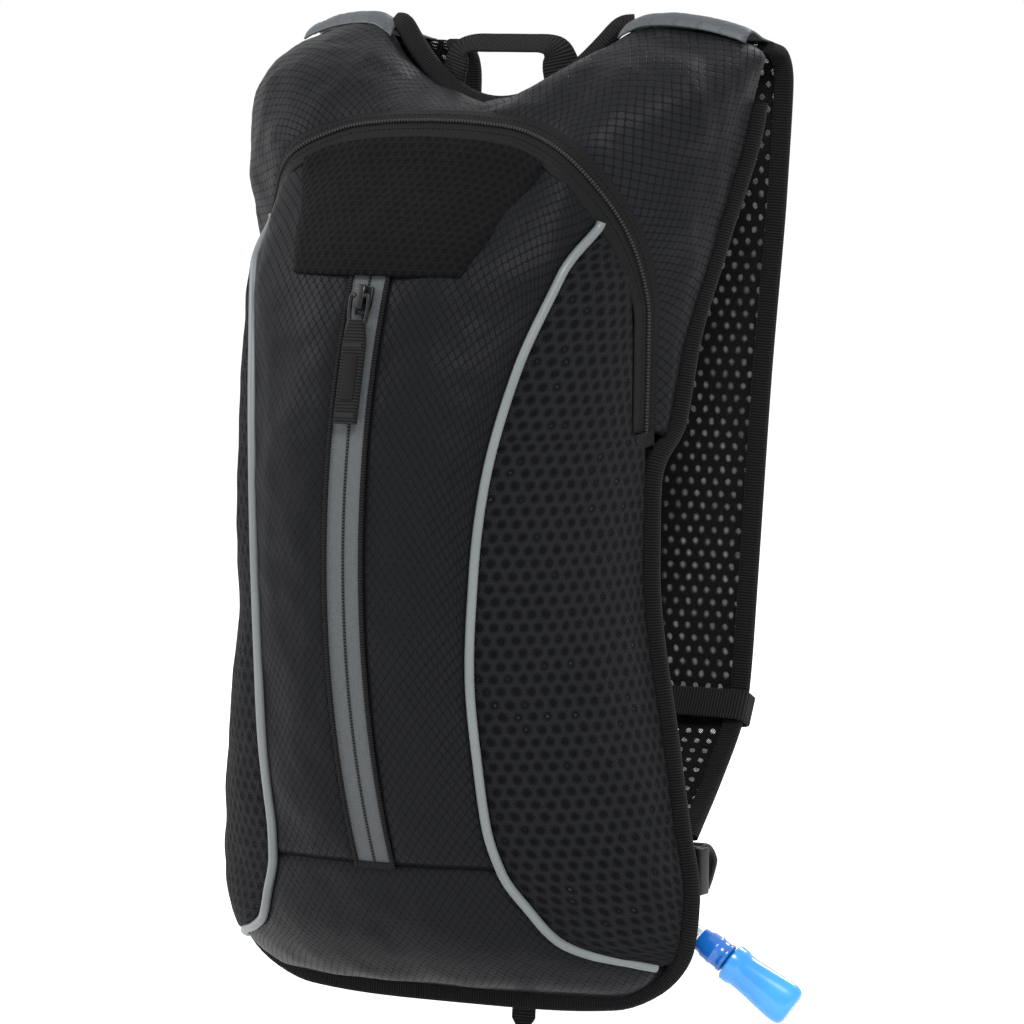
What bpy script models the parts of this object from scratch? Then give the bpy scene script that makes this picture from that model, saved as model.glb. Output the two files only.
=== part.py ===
"""A small hydration backpack that hangs from its haul loop, with its reservoir and drinking hose.

All sizes are in millimetres, in the bag's own frame: X to the bag's left as it is worn, Y towards the
wearer, Z up, with Y 0 at the back seam and Z 0 at the base. The origin empty then puts the middle of the
haul loop at the world's origin, in metres.
"""

import math

import bmesh
import bpy
import numpy as np
from mathutils import Matrix, Vector

MM = 0.001
FIT = 0.4  # gap between pieces that touch
BODY_CORE = (0, -25, 210)  # a point inside the body, which its sheets face away from
UP = Vector((0, 0, 1))

# Body: the front stands off the back seam by depth(z), and the seam is half_width(z) from the middle.
ZIP_ARC_RADIUS = 350.0  # the pocket zip is an arc in the plane X 0
ZIP_ARC_Y = 245.0
ZIP_ARC_Z = 205.0
POCKET_LOW = 69.0
POCKET_HIGH = 334.0
BASE_LOW = 10.0
BASE_FOOT = 4.0  # height where the side seams turn under the base
CROSS_POWER = 2.1  # exponent of the body's level sections
CLOTH = 1.2
HALF_WIDTHS = [(0, 74), (8, 94), (16, 106), (30, 115), (55, 119), (118, 111), (200, 97)]
HALF_WIDTHS += [(262, 97.5), (335, 99)]
LOW_DEPTHS = [(0, 5), (5, 19), (15, 41), (36, 62)]
# How far in front of the side seam the cloth ends.
SEAM_DEPTHS = [(0, 3.8), (245, 3.8), (254, 15.9), (300, 15.9), (335, 18.4)]

# Piping between the front and the side mesh, as X at each Z.
PIPING = [(18, 114), (25, 103), (30, 88), (36, 78), (50, 69), (68, 60), (90, 56.5), (118, 56)]
PIPING += [(155, 55), (204, 57), (240, 60), (293, 69), (330, 79), (360, 87)]
PIPING_RADIUS = 2.0
PIPING_LOW = 27.0
PIPING_HIGH = 354.0

# Mesh patch at the top of the front: X of its side seam at Z.
PATCH_LOW_HALF = 43.6
PATCH_HIGH_HALF = 61.0

# Main zip: right half of its coil line and of its tape's two edges, from the leg's foot to the top.
ZIP_LINE = [(98, -5, 262), (99, -5, 300), (98.6, -6, 325), (92, -15, 355), (75, -29, 383), (50, -26, 396)]
ZIP_LINE += [(25, -26, 400), (0, -26, 401)]
ZIP_INNER = [(97.4, -13, 262), (98, -13, 300), (97.2, -14, 323), (88.5, -22, 350), (71, -35, 377)]
ZIP_INNER += [(47, -32, 389.5), (24, -33, 393), (0, -33, 394)]
ZIP_OUTER = [(98.6, 1, 262), (100, 1, 300), (100.6, 0, 326), (94.6, -10, 358.5), (77, -25, 388)]
ZIP_OUTER += [(51, -20, 400.5), (25, -20, 404), (0, -20, 405)]

# Yoke's outer edge, in step with ZIP_LINE: up the side seam, over the shoulder, and down the neckline.
YOKE_EDGE = [(102, 13, 258), (106, 24, 305), (112, 38, 345), (119, 62, 408), (120, 60, 434)]
YOKE_EDGE += [(72, 46, 443), (40, 38, 421), (0, 33, 406)]
NECK_TOP_HALF = 57.0
NECK_TOP = 443.0
NECK_LOW = 406.0
NECK_BINDING_RADIUS = 2.6
BINDING_RADIUS = 3.0

# Haul loop.
LOOP_LEG_X = 28.0
LOOP_WEBBING = 18.0
LOOP_RUN = 10.0
LOOP_TOP = 440.0
LOOP_FOOT = 409.0
LOOP_Y = 42.4
LOOP_THICK = 2.0

# Back.
PAD_HALF = 86.0
PAD_LOW = 16.0
PAD_HIGH = 250.0
PAD_CORNER = 30.0
PAD_THICK = 6.0

# Straps: the middle line as (Y, Z), with X of the inner and the outer edge.
STRAP = [(76, 434, 45, 119), (86, 431, 45, 120), (92, 418, 45, 120), (90, 367, 46, 118), (83, 283, 47, 114)]
STRAP += [(76, 191, 48, 111), (70, 140, 52, 110), (46, 104, 72, 110), (16.5, 77.5, 94, 112)]
STRAP_THICK = 6.0
BAND_Z = 132.0
BAND_HIGH = 14.0
BAND_THICK = 1.6
BAND_SLACK = 1.9  # room in the band loop for the strap to bend

# Ladder locks, and the webbing from each to the base.
LOCK_CENTRE = (106.0, 13.0, 63.0)
LOCK_SIZE = (25.0, 7.0, 22.0)
WEBBING = 20.0
WEBBING_THICK = 1.6

# Reservoir.
TANK_HALF = 70.0
TANK_HALF_DEPTH = 18.0
TANK_Y = -24.0
TANK_LOW = 34.0
TANK_HIGH = 330.0
TANK_WALL = 1.6
FILL_Z = 262.0
FILL_BORE = 25.0
FILL_WALL = 4.0
FILL_HIGH = 14.0
CAP_WALL = 3.0
OUTLET_Z = 74.0

# Hose, and the valve at its end.
HOSE_OD = 9.2
PORT = (30.0, 34.5, 392.0)
VALVE_START = Vector((112.0, 20.0, 32.0))
VALVE_TIP = Vector((154.6, 30.0, 1.0))

HANG = (0.0, LOOP_Y, LOOP_TOP - LOOP_RUN)

COLOURS = {
    "ripstop": ((0.022, 0.023, 0.026), 0.55, 0.0),
    "mesh": ((0.010, 0.011, 0.014), 0.8, 0.0),
    "webbing": ((0.008, 0.008, 0.008), 0.85, 0.0),
    "reflective": ((0.32, 0.34, 0.35), 0.45, 0.1),
    "zip_tape": ((0.17, 0.18, 0.19), 0.7, 0.0),
    "zip_metal": ((0.02, 0.02, 0.02), 0.35, 0.8),
    "plastic": ((0.012, 0.012, 0.013), 0.4, 0.0),
    "tank_film": ((0.45, 0.62, 0.75), 0.25, 0.0),
    "blue_dark": ((0.01, 0.10, 0.42), 0.2, 0.0),
    "blue_light": ((0.10, 0.45, 0.80), 0.15, 0.0),
    "hose_clear": ((0.62, 0.68, 0.72), 0.2, 0.0),
    "seal": ((0.05, 0.05, 0.05), 0.6, 0.0),
}


def smooth(knots, free=False):
    """A smooth curve through (place, value) knots, level beyond both ends.

    Unless free, it never overshoots.
    """
    places = np.array([k[0] for k in knots], float)
    values = np.array([k[1] for k in knots], float)
    slopes = np.gradient(values, places, axis=0)
    if not free:
        rise = (np.diff(values, axis=0).T / np.diff(places)).T
        same = rise[:-1] * rise[1:] > 0
        total = np.where(same, rise[:-1] + rise[1:], 1.0)
        slopes[1:-1] = np.where(same, 2 * rise[:-1] * rise[1:] / total, 0.0)

    def at(place):
        place = min(max(place, places[0]), places[-1])
        i = min(int(np.searchsorted(places, place, side="right")) - 1, len(places) - 2)
        width = places[i + 1] - places[i]
        t = (place - places[i]) / width
        start = (2 * t**3 - 3 * t**2 + 1) * values[i] + (t**3 - 2 * t**2 + t) * width * slopes[i]
        return start + (3 * t**2 - 2 * t**3) * values[i + 1] + (t**3 - t**2) * width * slopes[i + 1]

    return at


def along(points):
    """A smooth curve through 3-D points, one unit of the parameter from each to the next."""
    curve = smooth([(i, p) for i, p in enumerate(points)], free=True)
    return lambda t: Vector(curve(t))


def spread(low, high, count):
    return [low + (high - low) * i / (count - 1) for i in range(count)]


# ---------------------------------------------------------------- the body's surface

half_width = smooth(HALF_WIDTHS)
piping_x = smooth(PIPING)
seam_depth = smooth(SEAM_DEPTHS)
zip_line = along(ZIP_LINE)
zip_inner = along(ZIP_INNER)
zip_outer = along(ZIP_OUTER)
yoke_edge = along(YOKE_EDGE)
TOP_STEPS = len(ZIP_LINE) - 1
SECTION_TOP = 335.0
TOP_EDGE = [(0, (-33, 394)), (24, (-33, 393)), (47, (-32, 389.5)), (71, (-35, 377)), (88.5, (-22, 350))]
TOP_EDGE += [(95.5, (-17.6, 335.5))]
top_edge = smooth(TOP_EDGE)  # (y, z) of the zip tape's inner edge at x


def arc_depth(z):
    return math.sqrt(ZIP_ARC_RADIUS**2 - (z - ZIP_ARC_Z) ** 2) - ZIP_ARC_Y


low_depth = smooth(LOW_DEPTHS + [(60, arc_depth(60)), (70, arc_depth(70))])


def depth(z):
    return low_depth(z) if z < 60 else arc_depth(min(z, SECTION_TOP))


def skin_y(x, z):
    """Y of the front's surface, from the base up to the main zip's tape."""
    level = min(z, SECTION_TOP)
    share = min(abs(x) / half_width(level), 1.0)
    start = -depth(level) * (1 - share**CROSS_POWER) ** (1 / CROSS_POWER)
    if z <= SECTION_TOP:
        return start
    end, top = top_edge(abs(x))
    rise = max(top - SECTION_TOP, 0.5)
    t = min((z - SECTION_TOP) / rise, 1.0)
    bulge = 0.4 * rise * (t**3 - 2 * t**2 + t)
    return start + (end - start) * (3 * t**2 - 2 * t**3) * 0.5 + (end - start) * 0.5 * t + bulge * 0.2


def skin(x, z):
    """The point of the surface at x and z."""
    return Vector((x, skin_y(x, z), z))


def edge_x(z):
    """X where the cloth ends, beside the seam or the main zip's tape."""
    if z > SECTION_TOP:
        places = spread(95.5, 0, 60)
        return min(places, key=lambda x: abs(top_edge(x)[1] - z))
    share = seam_depth(z) / max(depth(z), seam_depth(z) * 1.02)
    return half_width(z) * (1 - share**CROSS_POWER) ** (1 / CROSS_POWER)


def between(low, high, share, z):
    """X that is a share of the way round the section from low to high, evenly by angle."""
    width = half_width(min(z, SECTION_TOP))
    turn = [math.acos(min(x / width, 1.0) ** (CROSS_POWER / 2)) for x in (low, high)]
    angle = turn[0] + (turn[1] - turn[0]) * share
    return width * max(math.cos(angle), 0.0) ** (2 / CROSS_POWER)


# ---------------------------------------------------------------- scene, materials, objects


def clear_scene():
    for obj in list(bpy.data.objects):
        bpy.data.objects.remove(obj, do_unlink=True)


def collection(name):
    made = bpy.data.collections.new(name)
    bpy.context.scene.collection.children.link(made)
    return made


clear_scene()
PARTS = collection("hydration_backpack")
CUTTERS = collection("cutters")


def make_material(name):
    colour, roughness, metallic = COLOURS[name]
    made = bpy.data.materials.new(name)
    made.use_nodes = True
    shader = made.node_tree.nodes["Principled BSDF"]
    shader.inputs["Base Color"].default_value = (*colour, 1)
    shader.inputs["Roughness"].default_value = roughness
    shader.inputs["Metallic"].default_value = metallic
    return made


MATERIALS = {name: make_material(name) for name in COLOURS}


def empty(name, where, parent=None):
    """An empty at a point of the bag's frame."""
    made = bpy.data.objects.new(name, None)
    PARTS.objects.link(made)
    made.location = Vector(where) * MM
    if parent:
        made.parent = parent
        made.matrix_parent_inverse = Matrix.Translation(-Vector(parent["bag_point"]) * MM)
    made["bag_point"] = tuple(where)
    return made


ORIGIN = empty("hang_point", (0, 0, 0))
ORIGIN.location = -Vector(HANG) * MM


def place(obj, material, parent=None, group=None):
    """Links an object whose data is in the bag's frame, under the empty that carries it."""
    (group or PARTS).objects.link(obj)
    obj.parent = parent or ORIGIN
    if parent:
        obj.matrix_parent_inverse = Matrix.Translation(-Vector(parent["bag_point"]) * MM)
    if material:
        obj.data.materials.append(MATERIALS[material])
    return obj


def mesh_object(name, bm, material, parent=None, group=None, angle=35):
    data = bpy.data.meshes.new(name)
    bmesh.ops.scale(bm, vec=(MM, MM, MM), verts=bm.verts)
    bm.to_mesh(data)
    bm.free()
    data.shade_smooth()
    data.set_sharp_from_angle(angle=math.radians(angle))
    return place(bpy.data.objects.new(name, data), material, parent, group)


def add_grid(bm, rows):
    """Quads over rows of points."""
    made = [[bm.verts.new(p) for p in row] for row in rows]
    for low, high in zip(made, made[1:]):
        for a, b, c, d in zip(low, low[1:], high[1:], high):
            bm.faces.new((a, b, c, d))


def cloth(name, grids, material, thick=CLOTH, core=BODY_CORE):
    """Grids of points sewn into one sheet, thickened towards the core."""
    bm = bmesh.new()
    for rows in grids:
        add_grid(bm, rows)
    bmesh.ops.remove_doubles(bm, verts=bm.verts, dist=0.01)
    bmesh.ops.recalc_face_normals(bm, faces=bm.faces)
    facing = sum(f.normal.dot(f.calc_center_median() - Vector(core)) * f.calc_area() for f in bm.faces)
    if facing < 0:
        bmesh.ops.reverse_faces(bm, faces=bm.faces)
    obj = mesh_object(name, bm, material)
    solid = obj.modifiers.new("thickness", "SOLIDIFY")
    solid.thickness = thick * MM
    solid.offset = -1
    return obj


def mirrored(rows):
    return [[Vector((-p.x, p.y, p.z)) for p in row] for row in rows]


def pair(name, grids, material, thick=CLOTH):
    """The same sheet on the right and on the left."""
    for side, made in (("right", grids), ("left", [mirrored(g) for g in grids])):
        cloth(f"{name}_{side}", made, material, thick)


def both_halves(right):
    """Rows of the right half, then the same rows on the left, from the middle outwards."""
    return right + mirrored(right[-2::-1])


def tube(name, points, radius, material, resolution=2, parent=None):
    """A round bar through points."""
    data = bpy.data.curves.new(name, "CURVE")
    data.dimensions = "3D"
    data.bevel_depth = radius * MM
    data.bevel_resolution = resolution
    data.use_fill_caps = True
    line = data.splines.new("POLY")
    line.points.add(len(points) - 1)
    for slot, point in zip(line.points, points):
        slot.co = (*(Vector(point) * MM), 1)
    return place(bpy.data.objects.new(name, data), material, parent)


def turned(name, profile, start, axis, material, parent=None, steps=32, group=None):
    """A solid turned about axis. The profile is (radius, distance) pairs down its outer side and back."""
    data = bpy.data.meshes.new(name)
    edges = [(i, i + 1) for i in range(len(profile) - 1)]
    data.from_pydata([(r * MM, 0, d * MM) for r, d in profile], edges, [])
    obj = place(bpy.data.objects.new(name, data), material, parent, group)
    turn = UP.rotation_difference(Vector(axis)).to_matrix().to_4x4()
    obj.matrix_basis = Matrix.Translation(Vector(start) * MM) @ turn
    screw = obj.modifiers.new("turn", "SCREW")
    screw.axis = "Z"
    screw.steps = steps
    screw.render_steps = steps
    screw.use_merge_vertices = True
    screw.merge_threshold = 1e-5
    screw.use_smooth_shade = True
    return obj


def ring(inner, outer, low, high):
    """Profile of a ring between two radii and two distances."""
    return [(inner, high), (outer, high), (outer, low), (inner, low), (inner, high)]


def block(name, centre, size, material, parent=None, bevel=1.0, group=None):
    bm = bmesh.new()
    bmesh.ops.create_cube(bm, size=1)
    bmesh.ops.scale(bm, vec=size, verts=bm.verts)
    bmesh.ops.translate(bm, vec=centre, verts=bm.verts)
    obj = mesh_object(name, bm, material, parent, group)
    if bevel:
        edge = obj.modifiers.new("edges", "BEVEL")
        edge.width = bevel * MM
        edge.segments = 2
        edge.limit_method = "ANGLE"
    return obj


def outline(name, points, thick, material, y):
    """A flat upright plate from an outline in (X, Z), with its middle at y."""
    data = bpy.data.curves.new(name, "CURVE")
    data.dimensions = "2D"
    data.fill_mode = "BOTH"
    data.extrude = thick / 2 * MM
    line = data.splines.new("POLY")
    line.points.add(len(points) - 1)
    for slot, (x, z) in zip(line.points, points):
        slot.co = (x * MM, z * MM, 0, 1)
    line.use_cyclic_u = True
    obj = place(bpy.data.objects.new(name, data), material)
    obj.matrix_basis = Matrix.Translation((0, y * MM, 0)) @ Matrix.Rotation(math.radians(90), 4, "X")


def combine(obj, operation, helper):
    made = obj.modifiers.new(operation.lower(), "BOOLEAN")
    made.operation = operation
    made.object = helper
    helper.hide_render = True
    helper.display_type = "WIRE"


def cut(obj, cutter):
    combine(obj, "DIFFERENCE", cutter)


def round_rect(half, low, high, corner, steps=6):
    """Outline of a rectangle with round corners, about X 0."""
    points = []
    for x, z, start in ((half, low, -90), (half, high, 0), (-half, high, 90), (-half, low, 180)):
        centre = (math.copysign(abs(x) - corner, x), z + (corner if z == low else -corner))
        for angle in spread(start, start + 90, steps):
            turn = math.radians(angle)
            points.append((centre[0] + corner * math.cos(turn), centre[1] + corner * math.sin(turn)))
    return points


# ---------------------------------------------------------------- front and sides

TAPE_HALF = 9.0
SEAM_GAP = 0.6
BESIDE_PIPING = PIPING_RADIUS + 0.8


def beside_piping(z):
    """How far in X the cloth stays from the piping's middle line, which leans near the base."""
    lean = (piping_x(z + 1) - piping_x(z - 1)) / 2
    return BESIDE_PIPING * math.hypot(1, lean)


def split_x(z):
    """X of the mesh patch's side seam, carried down the front panel as a grid line."""
    share = max(z - POCKET_HIGH, 0) / (390 - POCKET_HIGH)
    return PATCH_LOW_HALF + (PATCH_HIGH_HALF - PATCH_LOW_HALF) * min(share, 1)


def front_outer(z):
    return min(piping_x(z) - beside_piping(z), edge_x(z))


def strip(columns, levels):
    """Rows of surface points: columns is a function of z that gives each row's X values."""
    return [[skin(x, z) for x in columns(z)] for z in levels]


def top_rows(low_xs, high_xs, start, count, drop=2 * SEAM_GAP):
    """Rows from a level line up to the main zip's tape."""
    rows = []
    for share in spread(0, 1, count):
        row = []
        for low, high in zip(low_xs, high_xs):
            top = top_edge(abs(high))[1] - drop
            x = low + (high - low) * share
            row.append(skin(x, start + (top - start) * share))
        rows.append(row)
    return rows


def base_seam_z(x):
    """Height of the seam under the base."""
    return BASE_FOOT - 3.5 * math.sin(math.pi * (1 - min((x / half_width(BASE_FOOT)) ** 2, 1)) / 2)


def make_front():
    levels = spread(POCKET_LOW + SEAM_GAP, POCKET_HIGH, 12)
    inner = strip(lambda z: spread(TAPE_HALF + SEAM_GAP, split_x(z) + SEAM_GAP, 4), levels)
    outer = strip(lambda z: spread(split_x(z) + SEAM_GAP, front_outer(z), 3), levels)
    foot = spread(PATCH_LOW_HALF + SEAM_GAP, front_outer(POCKET_HIGH), 3)
    head = spread(PATCH_HIGH_HALF + SEAM_GAP, 83.5, 3)
    upper = top_rows(foot, head, POCKET_HIGH, 5)
    pair("front_panel", [inner, outer, upper], "ripstop")
    levels = spread(BASE_LOW, POCKET_LOW - SEAM_GAP, 7)
    base = strip(lambda z: spread(-front_outer(z), front_outer(z), 13), levels)
    low = BINDING_RADIUS + SEAM_GAP
    base.insert(0, [Vector((x, -1.6, base_seam_z(x) + low)) for x in spread(-82, 82, 13)])
    cloth("bottom_panel", [base], "ripstop")
    patch = top_rows(spread(-43, 43, 9), spread(-60.4, 60.4, 9), POCKET_HIGH + SEAM_GAP, 5)
    cloth("top_mesh_patch", [patch], "mesh")


def make_sides():
    def columns(z):
        low = piping_x(z) + beside_piping(z)
        return [between(low, max(edge_x(z), low + 0.5), share, z) for share in spread(0, 1, 6)]

    levels = spread(36.5, SECTION_TOP, 15)
    pair("side_mesh", [strip(columns, levels)], "mesh")
    for side, sign in (("right", 1), ("left", -1)):
        points = []
        for z in spread(PIPING_LOW, PIPING_HIGH, 40):
            point = skin(piping_x(z), z)
            points.append((point.x * sign, point.y, point.z))
        tube(f"piping_{side}", points, PIPING_RADIUS, "reflective", 1)


def make_lining():
    rows = []
    for z in spread(POCKET_LOW + 6, POCKET_HIGH - 4, 8):
        half = front_outer(z) - 0.8
        back = skin_y(front_outer(z), z) + 2.2
        rows.append([Vector((x, back, z)) for x in spread(-half, half, 5)])
    cloth("pocket_lining", [rows], "ripstop", thick=0.8)


# ---------------------------------------------------------------- pocket zip


def arc_point(z, lift, x=0.0):
    """The point of the pocket zip's arc at height z, lifted off it."""
    angle = math.asin((z - ZIP_ARC_Z) / ZIP_ARC_RADIUS)
    radius = ZIP_ARC_RADIUS + lift
    return Vector((x, ZIP_ARC_Y - radius * math.cos(angle), ZIP_ARC_Z + radius * math.sin(angle)))


SLIDER_Z = 322.0
SLIDER_SIZE = (9.0, 3.6, 13.0)
PULL_WIRE = 1.1
PULL_HALF = 4.4
PULL_DROP = 12.0
PULL_SIZE = (11.0, 3.0, 52.0)
TAPE_THICK = 1.0


def on_arc(obj, z, lift):
    """Seats an object made at the origin on the zip's arc."""
    lean = Matrix.Rotation(math.asin((z - ZIP_ARC_Z) / ZIP_ARC_RADIUS), 4, "X")
    obj.data.transform(Matrix.Translation(arc_point(z, lift) * MM) @ lean.inverted())


def make_pocket_zip():
    levels = spread(POCKET_LOW + SEAM_GAP, POCKET_HIGH - SEAM_GAP, 16)
    rows = [[arc_point(z, 0, x) for x in (FIT / 2, TAPE_HALF)] for z in levels]
    pair("pocket_zip_tape", [rows], "zip_tape", TAPE_THICK)
    track = empty("pocket_zip_arc", (0, ZIP_ARC_Y, ZIP_ARC_Z), ORIGIN)
    slider = block("pocket_slider", (0, 0, 0), SLIDER_SIZE, "zip_metal", track, 1.2)
    lug = block("slider_lug", (0, -SLIDER_SIZE[1] / 2 - 1.4, 1), (4, 4, 5), None, track, 0, CUTTERS)
    on_arc(slider, SLIDER_Z, FIT + SLIDER_SIZE[1] / 2)
    on_arc(lug, SLIDER_Z, FIT + SLIDER_SIZE[1] / 2)
    combine(slider, "UNION", lug)
    hinge_at = arc_point(SLIDER_Z + 1, FIT + SLIDER_SIZE[1] + PULL_WIRE + FIT)
    swing = empty("pocket_pull_pivot", hinge_at, track)
    half, drop, inside = PULL_HALF, PULL_DROP, 2.0 + FIT
    path = [(inside, 0), (half, 0), (half, drop - 2), (half - 1.5, drop)]
    path += [(-x, z) for x, z in reversed(path)]
    down = (arc_point(SLIDER_Z - drop - PULL_SIZE[2], 4.0) - hinge_at).normalized()
    points = [hinge_at + Vector((x, 0, 0)) + down * z for x, z in path]
    tube("pocket_pull_wire", points, PULL_WIRE, "zip_metal", 2, swing)
    tab = block("pocket_pull_tab", (0, 0, 0), PULL_SIZE, "webbing", swing, 0.8)
    turn = Vector((0, 0, -1)).rotation_difference(down).to_matrix().to_4x4()
    centre = hinge_at + down * (drop + PULL_WIRE + FIT + PULL_SIZE[2] / 2)
    tab.data.transform(Matrix.Translation(centre * MM) @ turn)


# ---------------------------------------------------------------- main zip and yoke


def make_main_zip():
    steps = spread(0, TOP_STEPS, 22)
    for name, edge in (("inner", zip_inner), ("outer", zip_outer)):
        right = []
        for t in steps:
            line, far = zip_line(t), edge(t)
            way = (far - line).normalized()
            right.append([line + way * FIT, far - way * SEAM_GAP])
        cloth(f"main_zip_tape_{name}", [both_halves(right)], "webbing", TAPE_THICK)
    foot = zip_line(0.35)
    foot.x = -foot.x
    travel = empty("main_slider_start", foot, ORIGIN)
    block("main_slider", (foot.x - 2.6, foot.y, foot.z), (3.6, 9, 13), "zip_metal", travel, 1.2)
    swing = (foot.x - 6.0, foot.y, foot.z + 2)
    pivot = empty("main_pull_pivot", swing, travel)
    centre = (swing[0], swing[1], swing[2] - 18)
    block("main_pull", centre, (2.2, 8, 34), "webbing", pivot, 0.8)


def make_yoke():
    right = []
    for t in spread(0, TOP_STEPS, 22):
        low, high = zip_outer(t), yoke_edge(t)
        way = high - low
        on_ridge = 3.7 < t < 5.3
        start, end = 0.3 / way.length, 1 - (0.8 if on_ridge else BINDING_RADIUS + 2.3) / way.length
        bulge = way.cross(zip_line(min(t + 0.1, TOP_STEPS)) - zip_line(t - 0.1 if t > 0.1 else 0))
        bulge = bulge.normalized() * way.length * 0.1
        if bulge.dot(low - Vector((0, 20, 300))) < 0:
            bulge = -bulge
        row = []
        for share in spread(start, end, 6):
            row.append(low + way * share + bulge * math.sin(share * math.pi))
        right.append(row)
    cloth("yoke", [both_halves(right)], "ripstop", core=(0, 20, 330))


# ---------------------------------------------------------------- back, bindings, haul loop

BACK_TOP = [(0, (34, 401.6)), (20, (35.5, 406.2)), (40, (40, 419.8)), (57, (46.5, 437)), (72, (52, 438))]
BACK_TOP += [(95, (58, 437)), (114, (64, 429))]
back_top = smooth(BACK_TOP)
side_edge = smooth([(z, (x, y)) for x, y, z in [(101, 5, 250), *YOKE_EDGE[:4], (119.5, 64, 432)]])
BACK_SEAM = 256.0


def upper_back(c, t):
    """Point of the upper back: c from -1 to 1 across, t from 0 at the seam to 1 at the top."""
    x = abs(c)
    foot = Vector((96 * x, 3 + 6 * x**2, BACK_SEAM + 1.5))
    head = Vector((114 * x, *back_top(114 * x)))
    corner = Vector((114, *back_top(114)))
    z = BACK_SEAM + 1.5 + (corner.z - BACK_SEAM - 1.5) * t
    edge = side_edge(z)
    edge = Vector((edge[0] - 4.2, edge[1] + 1.0, z))
    line = Vector((96, 9, BACK_SEAM + 1.5)).lerp(corner, t)
    point = foot.lerp(head, t) + (edge - line) * x**3 * (1 - t**6)
    return Vector((math.copysign(point.x, c), point.y, point.z))


def make_back():
    levels = spread(BASE_LOW, BACK_SEAM, 14)
    rows = []
    for z in levels:
        half = half_width(z - 4) - BINDING_RADIUS - 0.2
        rows.append([Vector((x, 1.2, z)) for x in spread(-half, half, 3)])
    cloth("back_panel", [rows], "mesh")
    rows = [[upper_back(c, t) for c in spread(-1, 1, 13)] for t in spread(0, 1, 9)]
    panel = cloth("upper_back_panel", [rows], "mesh", core=(0, -30, 340))
    profile = [(0, 20), (8.4, 20), (8.4, -20), (0, -20)]
    cut(panel, turned("port_hole", profile, PORT, (0, 1, 0), None, steps=24, group=CUTTERS))
    points = round_rect(PAD_HALF, PAD_LOW, PAD_HIGH, PAD_CORNER)
    outline("back_pad", points, PAD_THICK, "mesh", CLOTH + FIT + PAD_THICK / 2)


def seam_point(z):
    """The edge binding's centre line up the right side."""
    if z <= 240:
        return Vector((half_width(z) + 1.0, 0, z))
    x, y = side_edge(z)
    low = seam_point(240)
    share = min((z - 240) / 22, 1)
    return Vector((low.x + (x - low.x) * share, y * share, z))


def make_bindings():
    right = [seam_point(z) for z in spread(404, BASE_FOOT, 46)]
    base = [Vector((x, 0, base_seam_z(x))) for x in spread(right[-1].x, 0, 7)]
    points = [row[0] for row in both_halves([[p] for p in right + base[1:]])]
    tube("edge_binding", points, BINDING_RADIUS, "webbing", 1)
    points = []
    for x in spread(-60, 60, 25):
        rise = (abs(x) / NECK_TOP_HALF) ** 2.0 * (NECK_TOP - NECK_LOW)
        points.append((x, 33 + 12 * (x / NECK_TOP_HALF) ** 2, NECK_LOW + min(rise, NECK_TOP - NECK_LOW)))
    tube("neck_binding", points, NECK_BINDING_RADIUS, "webbing", 1)


def make_haul_loop():
    half = LOOP_WEBBING / 2
    out, inn = LOOP_LEG_X + half, LOOP_LEG_X - half
    run = LOOP_TOP - LOOP_RUN
    points = [(out, LOOP_FOOT), (out, LOOP_TOP - 9), (out - 4, LOOP_TOP), (4 - out, LOOP_TOP)]
    points += [(-out, LOOP_TOP - 9), (-out, LOOP_FOOT), (-inn, LOOP_FOOT), (-inn - 4, run)]
    points += [(inn + 4, run), (inn, LOOP_FOOT)]
    outline("haul_loop", points, LOOP_THICK, "webbing", LOOP_Y)


# ---------------------------------------------------------------- straps

strap_line = smooth([(i, s) for i, s in enumerate(STRAP)])
STRAP_STEPS = len(STRAP) - 1


def strap_frame(t):
    """Middle (y, z) of the strap, its rearward unit vector, and X of its two edges."""
    y, z, inner, outer = strap_line(t)
    ahead, behind = strap_line(min(t + 0.05, STRAP_STEPS)), strap_line(max(t - 0.05, 0))
    way = Vector((0, ahead[0] - behind[0], ahead[1] - behind[1])).normalized()
    return Vector((0, y, z)), Vector((0, -way.z, way.y)), inner, outer


def ribbon(name, frames, thick, material, sign):
    """A closed strap of the given thickness over frames of (middle, rearward, inner x, outer x)."""
    bm = bmesh.new()
    loops = []
    for middle, back, inner, outer in frames:
        corners = [(inner, 0.5), (outer, 0.5), (outer, -0.5), (inner, -0.5)]
        loops.append([bm.verts.new(middle + back * thick * k + Vector((x * sign, 0, 0))) for x, k in corners])
    for low, high in zip(loops, loops[1:]):
        for i in range(4):
            j = (i + 1) % 4
            bm.faces.new((low[i], low[j], high[j], high[i]))
    bm.faces.new(loops[0][::-1])
    bm.faces.new(loops[-1])
    bmesh.ops.recalc_face_normals(bm, faces=bm.faces)
    return mesh_object(name, bm, material)


def ribbon_frames(path, middles, half):
    """Frames of a ribbon along (Y, Z) points, with the X of its middle at each."""
    frames = []
    for i, (point, middle) in enumerate(zip(path, middles)):
        ahead, behind = path[min(i + 1, len(path) - 1)], path[max(i - 1, 0)]
        way = Vector((0, ahead[0] - behind[0], ahead[1] - behind[1])).normalized()
        frames.append((Vector((0, *point)), Vector((0, -way.z, way.y)), middle - half, middle + half))
    return frames


def shoulder_point(x, k):
    """Point of the shoulder band: k counts rows from the front of the ridge to the strap's start."""
    ridge = min((yoke_edge(t) for t in spread(3.8, 5.6, 60)), key=lambda p: abs(p.x - x))
    if k == 3:
        return Vector((x, STRAP[0][0] - 0.6, STRAP[0][1] + 1.0))
    back, up = ((-5, 1.5), (1, 1.9), (9, 0.9))[k]
    return Vector((x, ridge.y + back, ridge.z + up))


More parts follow.
